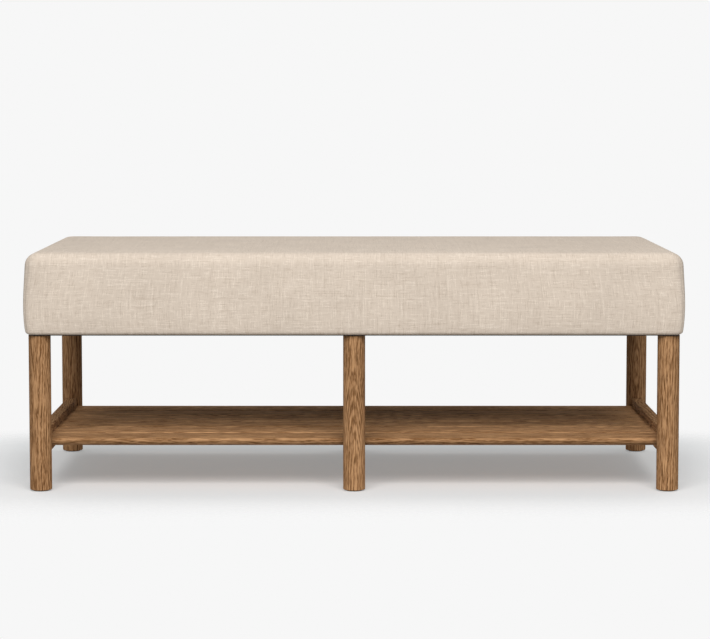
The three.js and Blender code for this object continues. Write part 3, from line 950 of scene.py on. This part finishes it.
def linen_material():
    """Natural linen: pale, matt, with a soft sheen at low angles."""
    material, tree, shader = new_material(
        "natural_linen", Sheen_Weight=0.05, Sheen_Roughness=0.5, Roughness=0.95, Specular_IOR_Level=0.15
    )
    flat = add(tree, "ShaderNodeUVMap", uv_map="cloth").outputs[0]
    parts = add(tree, "ShaderNodeSeparateXYZ", {0: flat})
    u, v = parts.outputs[0], parts.outputs[1]
    column = calc(tree, "DIVIDE", u, THREAD_PITCH)
    row = calc(tree, "DIVIDE", v, THREAD_PITCH)
    column_number = calc(tree, "FLOOR", column)
    row_number = calc(tree, "FLOOR", row)
    middle_of_row = calc(tree, "SUBTRACT", row, 0.5)
    middle_of_column = calc(tree, "ADD", column, 0.5)
    warp = thread_height(tree, column, middle_of_row, column_number)
    weft = thread_height(tree, row, middle_of_column, row_number)
    weft_on_top = stretch(tree, calc(tree, "SUBTRACT", weft, warp), -0.1, 0.1)
    warp_colour = thread_colour(tree, thread(tree, column_number, v, 3.0))
    weft_colour = thread_colour(tree, thread(tree, row_number, u, 11.0))
    colour = blend(tree, weft_on_top, warp_colour, weft_colour)
    height = calc(tree, "MAXIMUM", warp, weft)
    # Painted shade: the cloth is darker where the threads sink, in the hollows between them.
    hollow = stretch(tree, height, 0.0, 0.6, 0.72, 1.0)
    patches = cloudy(tree, scaled(tree, flat, (9.0, 9.0, 1.0)), 2.0)
    lightness = calc(tree, "MULTIPLY", hollow, stretch(tree, patches, 0.3, 0.7, 0.975, 1.025))
    toned = add(tree, "ShaderNodeVectorMath", {0: colour, "Scale": lightness}, operation="SCALE")
    tree.links.new(toned.outputs[0], shader.inputs["Base Color"])
    tree.links.new(bump(tree, height, 0.0003, 0.8), shader.inputs["Normal"])
    return material


linen = linen_material()
print("linen nodes:", len(linen.node_tree.nodes))

# %% [markdown]
# ## The padded seat
#
# The seat is foam on a timber box, wrapped in one piece of cloth: sharp enough to look tailored, yet a little full
# along the sides. A regular net of points over a rounded box gives the cut of the cloth, and a cloth simulation with
# air pressure inside then swells it against its own tension. The underside is held, as it is stapled to the frame.

# %% The cut of the seat
SWELL = 0.0012  # what the simulation adds to the middle of a side
CROWN = 0.0006  # the same for the top
FULLNESS = 0.0046  # of the sides between foot and top, all round
TOP_FULLNESS = 0.002  # of the sides just under the top edge
TOP_ROUNDING = 0.026
BOTTOM_ROUNDING = 0.006
CORNER_ROUNDING = 0.014
TIGHT_SHARE = 0.35  # of the height, up to which the upright corners keep their tighter rounding
FULLNESS_RISE = 0.62  # below 1, the sides are fullest in their lower part
CELL = 0.0115


def fullness(share):
    """How far a side stands out at a share of the seat's height: quickly out from the foot, slowly back above."""
    return FULLNESS * math.sin(math.pi * share**FULLNESS_RISE) + TOP_FULLNESS * share


most_full = max(fullness(step / 100) for step in range(101))
seat_low, seat_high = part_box("seat_cover")
half_x = seat_high.x - SWELL - most_full
half_y = seat_high.y - SWELL - most_full
seat_base = seat_low.z
seat_top = seat_high.z - CROWN


def net_lines(length, cells_low, cells_high):
    """Net lines as (place on the straight part from -1 to 1, turn from -1 to 1) pairs."""
    count = max(2, round(length / CELL))
    lines = [(-1.0, -(1 - step / cells_low)) for step in range(cells_low)]
    lines += [(-1 + 2 * step / count, 0.0) for step in range(count + 1)]
    lines += [(1.0, (step + 1) / cells_high) for step in range(cells_high)]
    return lines


lines_x = net_lines(2 * (half_x - TOP_ROUNDING), 4, 4)
lines_y = net_lines(2 * (half_y - TOP_ROUNDING), 4, 4)
lines_z = net_lines(seat_top - seat_base - TOP_ROUNDING - BOTTOM_ROUNDING, 2, 4)
print("net of", len(lines_x), "by", len(lines_y), "by", len(lines_z), "lines")

# %% A net line's place in space and on the flat cloth
def corner_radius(line):
    """The upright corners are tighter at the foot of the seat than at its top."""
    place, turn = line
    share = 1.0 if turn > 0 else 0.0 if turn < 0 else (place + 1) / 2
    ease = max(0.0, min(1.0, (share - TIGHT_SHARE) / (1 - TIGHT_SHARE)))
    return CORNER_ROUNDING + (TOP_ROUNDING - CORNER_ROUNDING) * ease * ease * (3 - 2 * ease)


def net_point(line_x, line_y, line_z):
    """The point where three net lines meet on the rounded box."""
    level = corner_radius(line_z)
    upright = TOP_ROUNDING if line_z[1] > 0 else BOTTOM_ROUNDING
    turns = Vector([math.tan(line[1] * math.pi / 4) for line in (line_x, line_y, line_z)])
    turns.normalize()
    straight_low = seat_base + BOTTOM_ROUNDING
    straight_high = seat_top - TOP_ROUNDING
    x = line_x[0] * (half_x - level) + turns.x * level
    y = line_y[0] * (half_y - level) + turns.y * level
    z = straight_low + (line_z[0] + 1) / 2 * (straight_high - straight_low) + turns.z * upright
    full = fullness((z - seat_base) / (seat_top - seat_base))
    return Vector((x * (1 + full / half_x), y * (1 + full / half_y), z))


def flat_place(line, half):
    """Where a net line lies on the flat cloth, from the middle."""
    return line[0] * (half - TOP_ROUNDING) + line[1] * TOP_ROUNDING * math.pi / 4


def drop(line):
    """How far a net line lies below the top edge, along the cloth."""
    straight = seat_top - seat_base - TOP_ROUNDING - BOTTOM_ROUNDING
    if line[1] > 0:
        return TOP_ROUNDING * (1 - line[1]) * math.pi / 4
    fall = TOP_ROUNDING * math.pi / 4 + (1 - line[0]) / 2 * straight
    return fall - line[1] * BOTTOM_ROUNDING * math.pi / 4


# %% The net as a mesh, with its flat map
def seat_net():
    """The net over the six sides of the seat, closed, with the map of the cloth in metres."""
    shape = bmesh.new()
    cloth = shape.loops.layers.uv.new("cloth")
    seam = shape.verts.layers.float.new("seam")
    last = (len(lines_x) - 1, len(lines_y) - 1, len(lines_z) - 1)
    known = {}

    def vertex(i, j, k):
        if (i, j, k) not in known:
            made = shape.verts.new(net_point(lines_x[i], lines_y[j], lines_z[k]))
            made[seam] = 1.0 if i in (0, last[0]) and j in (0, last[1]) else 0.0
            known[i, j, k] = made
        return known[i, j, k]

    def cell(corners, place, outwards):
        if not outwards:
            corners = corners[::-1]
        face = shape.faces.new([vertex(*corner) for corner in corners])
        for loop, corner in zip(face.loops, corners):
            loop[cloth].uv = place(*corner)

    def across(i):
        return flat_place(lines_x[i], half_x)

    def along(j):
        return flat_place(lines_y[j], half_y)

    def on_top(i, j, k):
        return (across(i), along(j))

    def underneath(i, j, k):
        return (across(i), along(0) - drop(lines_z[0]) - (along(j) - along(0)))

    def on_long_side(i, j, k):
        return (across(i), along(j) + math.copysign(drop(lines_z[k]), along(j)))

    def on_end(i, j, k):
        return (across(i) + math.copysign(drop(lines_z[k]), across(i)), along(j))

    for i in range(last[0]):
        for j in range(last[1]):
            for k, place, outwards in ((last[2], on_top, True), (0, underneath, False)):
                cell([(i, j, k), (i + 1, j, k), (i + 1, j + 1, k), (i, j + 1, k)], place, outwards)
    for k in range(last[2]):
        for i in range(last[0]):
            for j, outwards in ((0, True), (last[1], False)):
                cell([(i, j, k), (i + 1, j, k), (i + 1, j, k + 1), (i, j, k + 1)], on_long_side, outwards)
        for j in range(last[1]):
            for i, outwards in ((last[0], True), (0, False)):
                cell([(i, j, k), (i, j + 1, k), (i, j + 1, k + 1), (i, j, k + 1)], on_end, outwards)
    mesh = bpy.data.meshes.new("seat_net")
    shape.to_mesh(mesh)
    shape.free()
    return mesh


seat = object_of("seat_upholstery", seat_net())
print("seat net:", len(seat.data.vertices), "points,", len(seat.data.polygons), "cells")

# %% [markdown]
# The simulation only has to find how a taut cover swells, so it runs without gravity for a few frames. Its pull on
# the cloth is then scaled to the fullness that upholstery foam gives, which keeps the seat at its exact size.

# %% Swelling the seat
PRESSURE = 4.0
FRAMES = 20


def simulated_swell(piece):
    """How far the simulation moves each point."""
    held = piece.vertex_groups.new(name="held")
    low_edge = seat_base + BOTTOM_ROUNDING * 0.6
    held.add([v.index for v in piece.data.vertices if v.co.z < low_edge], 1.0, "REPLACE")
    step = piece.modifiers.new("cloth", "CLOTH")
    step.settings.use_pressure = True
    step.settings.uniform_pressure_force = PRESSURE
    step.settings.effector_weights.gravity = 0.0
    step.settings.vertex_group_mass = "held"
    step.settings.quality = 5
    step.settings.mass = 0.3
    step.settings.tension_stiffness = 30.0
    step.settings.compression_stiffness = 30.0
    step.settings.shear_stiffness = 10.0
    step.settings.bending_stiffness = 2.0
    step.point_cache.frame_start = 1
    step.point_cache.frame_end = FRAMES
    scene = bpy.context.scene
    for number in range(1, FRAMES + 1):
        scene.frame_set(number)
    seen = piece.evaluated_get(bpy.context.evaluated_depsgraph_get())
    moved = [seen.data.vertices[v.index].co - v.co for v in piece.data.vertices]
    piece.modifiers.clear()
    piece.vertex_groups.clear()
    scene.frame_set(1)
    return moved


def limited(value, cap):
    """A value that levels off softly before a cap."""
    return cap * math.tanh(value / cap)


moved = simulated_swell(seat)
print("swell before scaling:", round(max(move.length for move in moved) * 1000, 2), "mm at most")

# %% Scaling the swell
CAP = 0.012  # no point moves further than this before the swell is scaled
FLAT = 0.0001  # a point less than this above the foot stays where it is


def swell_seat(piece, moved):
    """Moves each point outwards by its share of the swell. Nothing moves inwards."""
    normals = [vertex.normal.copy() for vertex in piece.data.vertices]
    outwards = [max(0.0, limited(move.dot(normal), CAP)) for move, normal in zip(moved, normals)]
    most = max(max(outwards), 1e-6)
    for vertex, normal, out in zip(piece.data.vertices, normals, outwards):
        if vertex.co.z > seat_base + FLAT:
            share = out / most
            vertex.co += Vector((normal.x * SWELL, normal.y * SWELL, normal.z * CROWN)) * share


swell_seat(seat, moved)

# %% [markdown]
# One subdivision makes the curves smooth. The cloth is drawn in along the four upright corners, where two
# cut edges are sewn together, and gets a trace of unevenness, because foam is never quite flat. Smoothing shrinks
# a shape slightly, so the seat is brought back to its exact size at the end.

# %% Seams and unevenness
SEAM_DEPTH = 0.0011
UNEVENNESS = 0.00035
UNEVEN_SIZE = 0.085  # of one soft hollow or rise
UNDERSIDE = 0.001  # points and faces less than this above the foot belong to the underside
DIAGONAL = 0.707  # of a move in X and in Y, for a move of 1 between them


def refine_seat(piece):
    """Smooths the net, draws in the corner seams and adds slight unevenness."""
    step = piece.modifiers.new("smooth", "SUBSURF")
    step.levels = 1
    step.render_levels = 1
    bake_modifiers(piece)
    points = piece.data.vertices
    normals = [vertex.normal.copy() for vertex in points]
    seams = [item.value for item in piece.data.attributes["seam"].data]
    for vertex, normal, seam in zip(points, normals, seams):
        if vertex.co.z < seat_base + UNDERSIDE:
            vertex.co.z = max(vertex.co.z, seat_base)
            continue
        inwards = Vector((-math.copysign(DIAGONAL, vertex.co.x), -math.copysign(DIAGONAL, vertex.co.y), 0.0))
        ripple = noise.noise(vertex.co / UNEVEN_SIZE) * UNEVENNESS
        vertex.co += inwards * SEAM_DEPTH * seam * seam + normal * min(ripple, 0.0)
    reach = [max(abs(vertex.co[axis]) for vertex in points) for axis in range(2)]
    top = max(vertex.co.z for vertex in points)
    for vertex in points:
        vertex.co.x *= seat_high.x / reach[0]
        vertex.co.y *= seat_high.y / reach[1]
        vertex.co.z = seat_base + (vertex.co.z - seat_base) * (seat_high.z - seat_base) / (top - seat_base)


refine_seat(seat)
print("seat after smoothing:", len(seat.data.polygons), "cells,", [round(x, 4) for x in seat.dimensions])

# %% [markdown]
# Inside, the seat is hollow: the timber box stands in a recess of the foam. The recess starts at the inner edge of
# the turned-under cloth, runs out to the sides of the timber, and rises to the top of the deck.

# %% The recess for the timber
TURN_UNDER = 0.055
FRAME_CORNER = 0.011
SOFT_EDGE = 60  # degrees, below which an edge of cloth looks round

frame_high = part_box("deck")[1]
base_of_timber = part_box("base_rail_front")[0].z


def recess_place(point, z):
    """A point of the recess's mouth, moved out to the side of the timber."""
    reach_x = frame_high.x + CLEARANCE
    reach_y = frame_high.y + CLEARANCE
    x = point.x / (seat_high.x - TURN_UNDER) * reach_x
    y = point.y / (seat_high.y - TURN_UNDER) * reach_y
    x = max(-reach_x, min(reach_x, x))
    y = max(-reach_y, min(reach_y, y))
    corner = Vector((reach_x - FRAME_CORNER, reach_y - FRAME_CORNER))
    past = Vector((abs(x) - corner.x, abs(y) - corner.y))
    if past.x > 0 and past.y > 0:
        past = past.normalized() * FRAME_CORNER
        x = math.copysign(corner.x + past.x, x)
        y = math.copysign(corner.y + past.y, y)
    return Vector((x, y, z))


def hollow_seat(piece):
    """Opens the underside and lines the recess."""
    shape = bmesh.new()
    shape.from_mesh(piece.data)
    mouth_x = seat_high.x - TURN_UNDER
    mouth_y = seat_high.y - TURN_UNDER
    inner = []
    for face in shape.faces:
        centre = face.calc_center_median()
        if centre.z < seat_base + UNDERSIDE and abs(centre.x) < mouth_x and abs(centre.y) < mouth_y:
            inner.append(face)
    bmesh.ops.delete(shape, geom=inner, context="FACES")
    edges = [edge for edge in shape.edges if edge.is_boundary]
    over_cloth = base_of_timber - CLEARANCE
    over_deck = frame_high.z + CLEARANCE
    for stage in range(3):
        made = bmesh.ops.extrude_edge_only(shape, edges=edges)["geom"]
        for vertex in (item for item in made if isinstance(item, bmesh.types.BMVert)):
            if stage == 0:
                vertex.co.z = over_cloth
            elif stage == 1:
                vertex.co = recess_place(vertex.co, over_cloth)
            else:
                vertex.co.z = over_deck
        edges = [item for item in made if isinstance(item, bmesh.types.BMEdge)]
    bmesh.ops.triangle_fill(shape, edges=edges, use_beauty=True, use_dissolve=False)
    bmesh.ops.recalc_face_normals(shape, faces=shape.faces)
    shape.to_mesh(piece.data)
    shape.free()


hollow_seat(seat)
soften(seat, SOFT_EDGE)
finish_piece(seat, linen, ["seat_cover", "foam_pad", "foam_wrap"])

# %% [markdown]
# ## Dust cover
#
# A thin black cloth closes the underside and hides the timber. It is a flat sheet pulled tight and stapled all
# round, so it sags only a little between the posts. A grid with two sine waves gives that sag, and staples are
# repeated along its edge.

# %% Dust cover cloth
def cambric_material():
    """Black non-woven cloth with a fine pressed pattern."""
    material, tree, shader = new_material("black_cambric", Roughness=0.95, Sheen_Weight=0.1)
    place = add(tree, "ShaderNodeTexCoord").outputs["Object"]
    fibres = cloudy(tree, scaled(tree, place, (900.0, 900.0, 900.0)), 3.0, 0.7)
    dimples = add(
        tree, "ShaderNodeTexVoronoi", {"Vector": scaled(tree, place, (620.0, 620.0, 0.0)), "Randomness": 0.35}
    )
    pressed = stretch(tree, dimples.outputs["Distance"], 0.1, 0.5)
    colour = blend(tree, fibres, (0.012, 0.012, 0.013, 1.0), (0.045, 0.045, 0.048, 1.0))
    tree.links.new(colour, shader.inputs["Base Color"])
    tree.links.new(bump(tree, calc(tree, "ADD", pressed, fibres), 0.0002), shader.inputs["Normal"])
    return material


cambric = cambric_material()

# %% Dust cover
SAG = 0.0009
SHEET_CELL = 0.012

sheet_low, sheet_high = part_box("dust_cover")
sheet_size = sheet_high - sheet_low


def sheet_sag(x, y):
    """How far the sheet hangs: nothing at its edge and at the posts, most between them."""
    across = math.cos(math.pi * y / sheet_size.y)
    along = math.sin(2 * math.pi * x / sheet_size.x) ** 2
    return SAG * across * along


def build_sheet(shape):
    """A flat grid with its sag, as one layer."""
    columns = round(sheet_size.x / SHEET_CELL)
    rows = round(sheet_size.y / SHEET_CELL)
    grid = []
    for row in range(rows + 1):
        y = sheet_low.y + sheet_size.y * row / rows
        line = []
        for column in range(columns + 1):
            x = sheet_low.x + sheet_size.x * column / columns
            line.append(shape.verts.new((x, y, sheet_high.z - sheet_sag(x, y))))
        grid.append(line)
    for row in range(rows):
        for column in range(columns):
            corners = (grid[row][column], grid[row][column + 1], grid[row + 1][column + 1], grid[row + 1][column])
            shape.faces.new(corners)


dust_cover = object_of("dust_cover_cloth", mesh_of("dust_cover_cloth", build_sheet))
thicken = dust_cover.modifiers.new("thickness", "SOLIDIFY")
thicken.thickness = sheet_size.z
thicken.offset = -1.0
bake_modifiers(dust_cover)
soften(dust_cover, SOFT_EDGE)
finish_piece(dust_cover, cambric, ["dust_cover"])
print("dust cover cut to", round(sheet_size.x, 3), "by", round(sheet_size.y, 3), "m")

# %% Staples
STAPLE_CROWN = 0.010
STAPLE_WIRE = 0.0006
STAPLE_SPACING = 0.045
STAPLE_INSET = 0.009
STAPLE_LEG = 0.004
STAPLE_SLANT = 0.12  # radians, at most, from a straight row


def staple_shape():
    """The crown of a staple along X, with its two legs up into the wood."""

    def build(shape):
        half = STAPLE_CROWN / 2
        wire = STAPLE_WIRE
        path = [(-half, STAPLE_LEG), (-half, 0.0), (half, 0.0), (half, STAPLE_LEG)]
        rings = []
        for x, z in path:
            inner = x - math.copysign(wire / 2, x)
            outer = x + math.copysign(wire / 2, x)
            low = z if z > 0 else -wire
            ring = [(inner, -wire, z), (outer, -wire, low), (outer, wire, low), (inner, wire, z)]
            rings.append([shape.verts.new(point) for point in ring])
        for first, second in zip(rings, rings[1:]):
            for side in range(4):
                after = (side + 1) % 4
                shape.faces.new((first[side], first[after], second[after], second[side]))
        shape.faces.new(reversed(rings[0]))
        shape.faces.new(rings[-1])
        bmesh.ops.recalc_face_normals(shape, faces=shape.faces)

    return object_of("staple", mesh_of("staple", build))


def staple_places():
    """Places along the edge of the dust cover, clear of the posts."""
    x_edge = sheet_high.x - STAPLE_INSET
    y_edge = sheet_high.y - STAPLE_INSET
    height = sheet_low.z
    places = []
    columns = round(2 * x_edge / STAPLE_SPACING)
    rows = round(2 * y_edge / STAPLE_SPACING)
    for side in (-1, 1):
        for column in range(columns):
            places.append((-x_edge + 2 * x_edge * (column + 0.5) / columns, side * y_edge, height, 0.0))
        for row in range(rows):
            places.append((side * x_edge, -y_edge + 2 * y_edge * (row + 0.5) / rows, height, math.pi / 2))
    clear = post_radius + STAPLE_CROWN
    posts = [Vector((place.x, place.y)) for place in post_places.values()]
    kept = [place for place in places if min((Vector(place[:2]) - post).length for post in posts) > clear]
    return [(x, y, z, turn + chance.uniform(-STAPLE_SLANT, STAPLE_SLANT)) for x, y, z, turn in kept]


staples = repeated("dust_cover_staples", staple_shape(), staple_places(), steel)
finish_piece(staples, steel, [])

# %% [markdown]
# ## Timber inside the seat
#
# The seat's box is never seen, yet it is real: softwood rails with plywood panels, ribs and a deck on them, and a
# steel bolt with a tee nut over each post. These pieces stay as the CAD made them, with their own materials.

# %% Softwood and plywood
def softwood_material():
    """Planed pine, pale with darker late wood."""
    material, tree, shader = new_material("planed_pine", Roughness=0.62)
    place = add(tree, "ShaderNodeTexCoord").outputs["Object"]
    bent = cloudy(tree, scaled(tree, place, (3.0, 22.0, 22.0)), 2.0)
    rings = calc(tree, "SINE", calc(tree, "MULTIPLY", bent, 60.0))
    fibres = cloudy(tree, scaled(tree, place, (30.0, 700.0, 700.0)), 2.0)
    colour = blend(tree, stretch(tree, rings, -0.2, 1.0), (0.62, 0.43, 0.24, 1.0), (0.40, 0.23, 0.10, 1.0))
    colour = blend(tree, calc(tree, "MULTIPLY", fibres, 0.5), colour, (0.70, 0.52, 0.32, 1.0))
    tree.links.new(colour, shader.inputs["Base Color"])
    tree.links.new(bump(tree, fibres, 0.0002), shader.inputs["Normal"])
    return material


def plywood_material():
    """Birch plywood, with its plies as bands in the thickness."""
    material, tree, shader = new_material("birch_plywood", Roughness=0.58)
    place = add(tree, "ShaderNodeTexCoord").outputs["Object"]
    plies = add(tree, "ShaderNodeTexWave", {"Vector": place, "Scale": 110.0, "Distortion": 0.6}, bands_direction="Z")
    fibres = cloudy(tree, scaled(tree, place, (24.0, 380.0, 380.0)), 3.0)
    colour = blend(tree, fibres, (0.50, 0.34, 0.19, 1.0), (0.68, 0.52, 0.34, 1.0))
    bands = calc(tree, "MULTIPLY", plies.outputs["Fac"], 0.25)
    colour = blend(tree, bands, colour, (0.33, 0.20, 0.10, 1.0))
    tree.links.new(colour, shader.inputs["Base Color"])
    tree.links.new(bump(tree, fibres, 0.0002), shader.inputs["Normal"])
    return material


softwood = softwood_material()
plywood = plywood_material()

# %% Giving the inner pieces their materials
def inner_material(node):
    """The material of a CAD piece that stays, from its name."""
    if node.startswith(("hanger_bolt", "tee_nut")):
        return steel
    if node.startswith(("base_rail", "cross_rail")):
        return softwood
    if node.startswith(("panel", "rib", "deck")):
        return plywood
    return None


given = 0
for node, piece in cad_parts.items():
    material = inner_material(node)
    if material:
        piece.data.materials.clear()
        piece.data.materials.append(material)
        given += 1
print(given, "inner pieces have their materials")

# %% [markdown]
# ## Floor and light
#
# The bench stands on a plain pale floor that fades into the background, so there is no horizon. A strong broad
# light from the front and above shapes the seat, which is brightest along its upper front edge, and a weak one above
# and behind softens the shadow. The floor glows a little, so that its shadow stays neutral and open.

# %% Floor
FLOOR_RADIUS = 3.0
FADE_START = 0.01  # from the bench's outline
FADE_END = 0.40
FLOOR_SIDES = 96


def floor_material():
    """Matt pale grey, fading out away from the bench, with a faint bluish glow: painted light that lifts and cools
    its shadow.
    """
    material, tree, shader = new_material("pale_floor", Roughness=1.0, IOR=1.05)
    place = add(tree, "ShaderNodeTexCoord").outputs["Object"]
    sides = add(tree, "ShaderNodeVectorMath", {0: place}, operation="ABSOLUTE").outputs[0]
    outline = (seat_high.x, seat_high.y, 0.0)
    beyond = add(tree, "ShaderNodeVectorMath", {0: sides, 1: outline}, operation="SUBTRACT").outputs[0]
    beyond = add(tree, "ShaderNodeVectorMath", {0: beyond}, operation="MAXIMUM").outputs[0]
    far = add(tree, "ShaderNodeVectorMath", {0: beyond}, operation="LENGTH")
    fade = stretch(tree, far.outputs["Value"], FADE_START, FADE_END)
    shader.inputs["Base Color"].default_value = (0.64, 0.622, 0.612, 1.0)
    # Painted light: a faint bluish glow lifts the floor's shadow and keeps it from looking warm.
    shader.inputs["Emission Color"].default_value = (0.86, 0.955, 1.0, 1.0)
    shader.inputs["Emission Strength"].default_value = 0.255
    clear = tree.nodes.new("ShaderNodeBsdfTransparent")
    mixed = add(tree, "ShaderNodeMixShader", {0: fade, 1: shader.outputs[0], 2: clear.outputs[0]})
    tree.links.new(mixed.outputs[0], tree.nodes["Material Output"].inputs["Surface"])
    return material


def build_floor(shape):
    """A round floor, face up."""
    bmesh.ops.create_circle(shape, cap_ends=True, segments=FLOOR_SIDES, radius=FLOOR_RADIUS)


floor = object_of("floor", mesh_of("floor", build_floor))
floor.data.materials.append(floor_material())

# %% Lights
BACKDROP = 0.93  # of the surroundings, as seen
AMBIENT = 0.33  # of the surroundings, as light


def area_light(name, place, target, size, power):
    """A soft rectangular light that faces a point and isn't seen itself."""
    lamp = bpy.data.lights.new(name, "AREA")
    lamp.shape = "RECTANGLE"
    lamp.size, lamp.size_y = size
    lamp.energy = power
    light = bpy.data.objects.new(name, lamp)
    light.location = place
    light.rotation_euler = (Vector(target) - Vector(place)).to_track_quat("-Z", "Y").to_euler()
    light.visible_camera = False
    bpy.context.collection.objects.link(light)
    return light


area_light("light_above", (0.0, 1.0, 2.9), (0.0, 0.1, 0.0), (4.0, 2.2), 24.0)
area_light("light_front", (0.0, -3.75, 2.8), (0.0, 0.0, 0.3), (4.4, 2.2), 205.0)

world = bpy.data.worlds.new("studio")
world.use_nodes = True
sky = world.node_tree
sky.nodes.clear()
seen_directly = add(sky, "ShaderNodeLightPath").outputs["Is Camera Ray"]
glow = add(sky, "ShaderNodeMapRange", {0: seen_directly, 1: 0.0, 2: 1.0, 3: AMBIENT, 4: BACKDROP})
backdrop = add(sky, "ShaderNodeBackground", {"Color": (1.0, 1.0, 1.0, 1.0), "Strength": glow.outputs[0]})
sky_out = sky.nodes.new("ShaderNodeOutputWorld")
sky.links.new(backdrop.outputs[0], sky_out.inputs["Surface"])
bpy.context.scene.world = world
bpy.context.scene.view_settings.view_transform = "Standard"
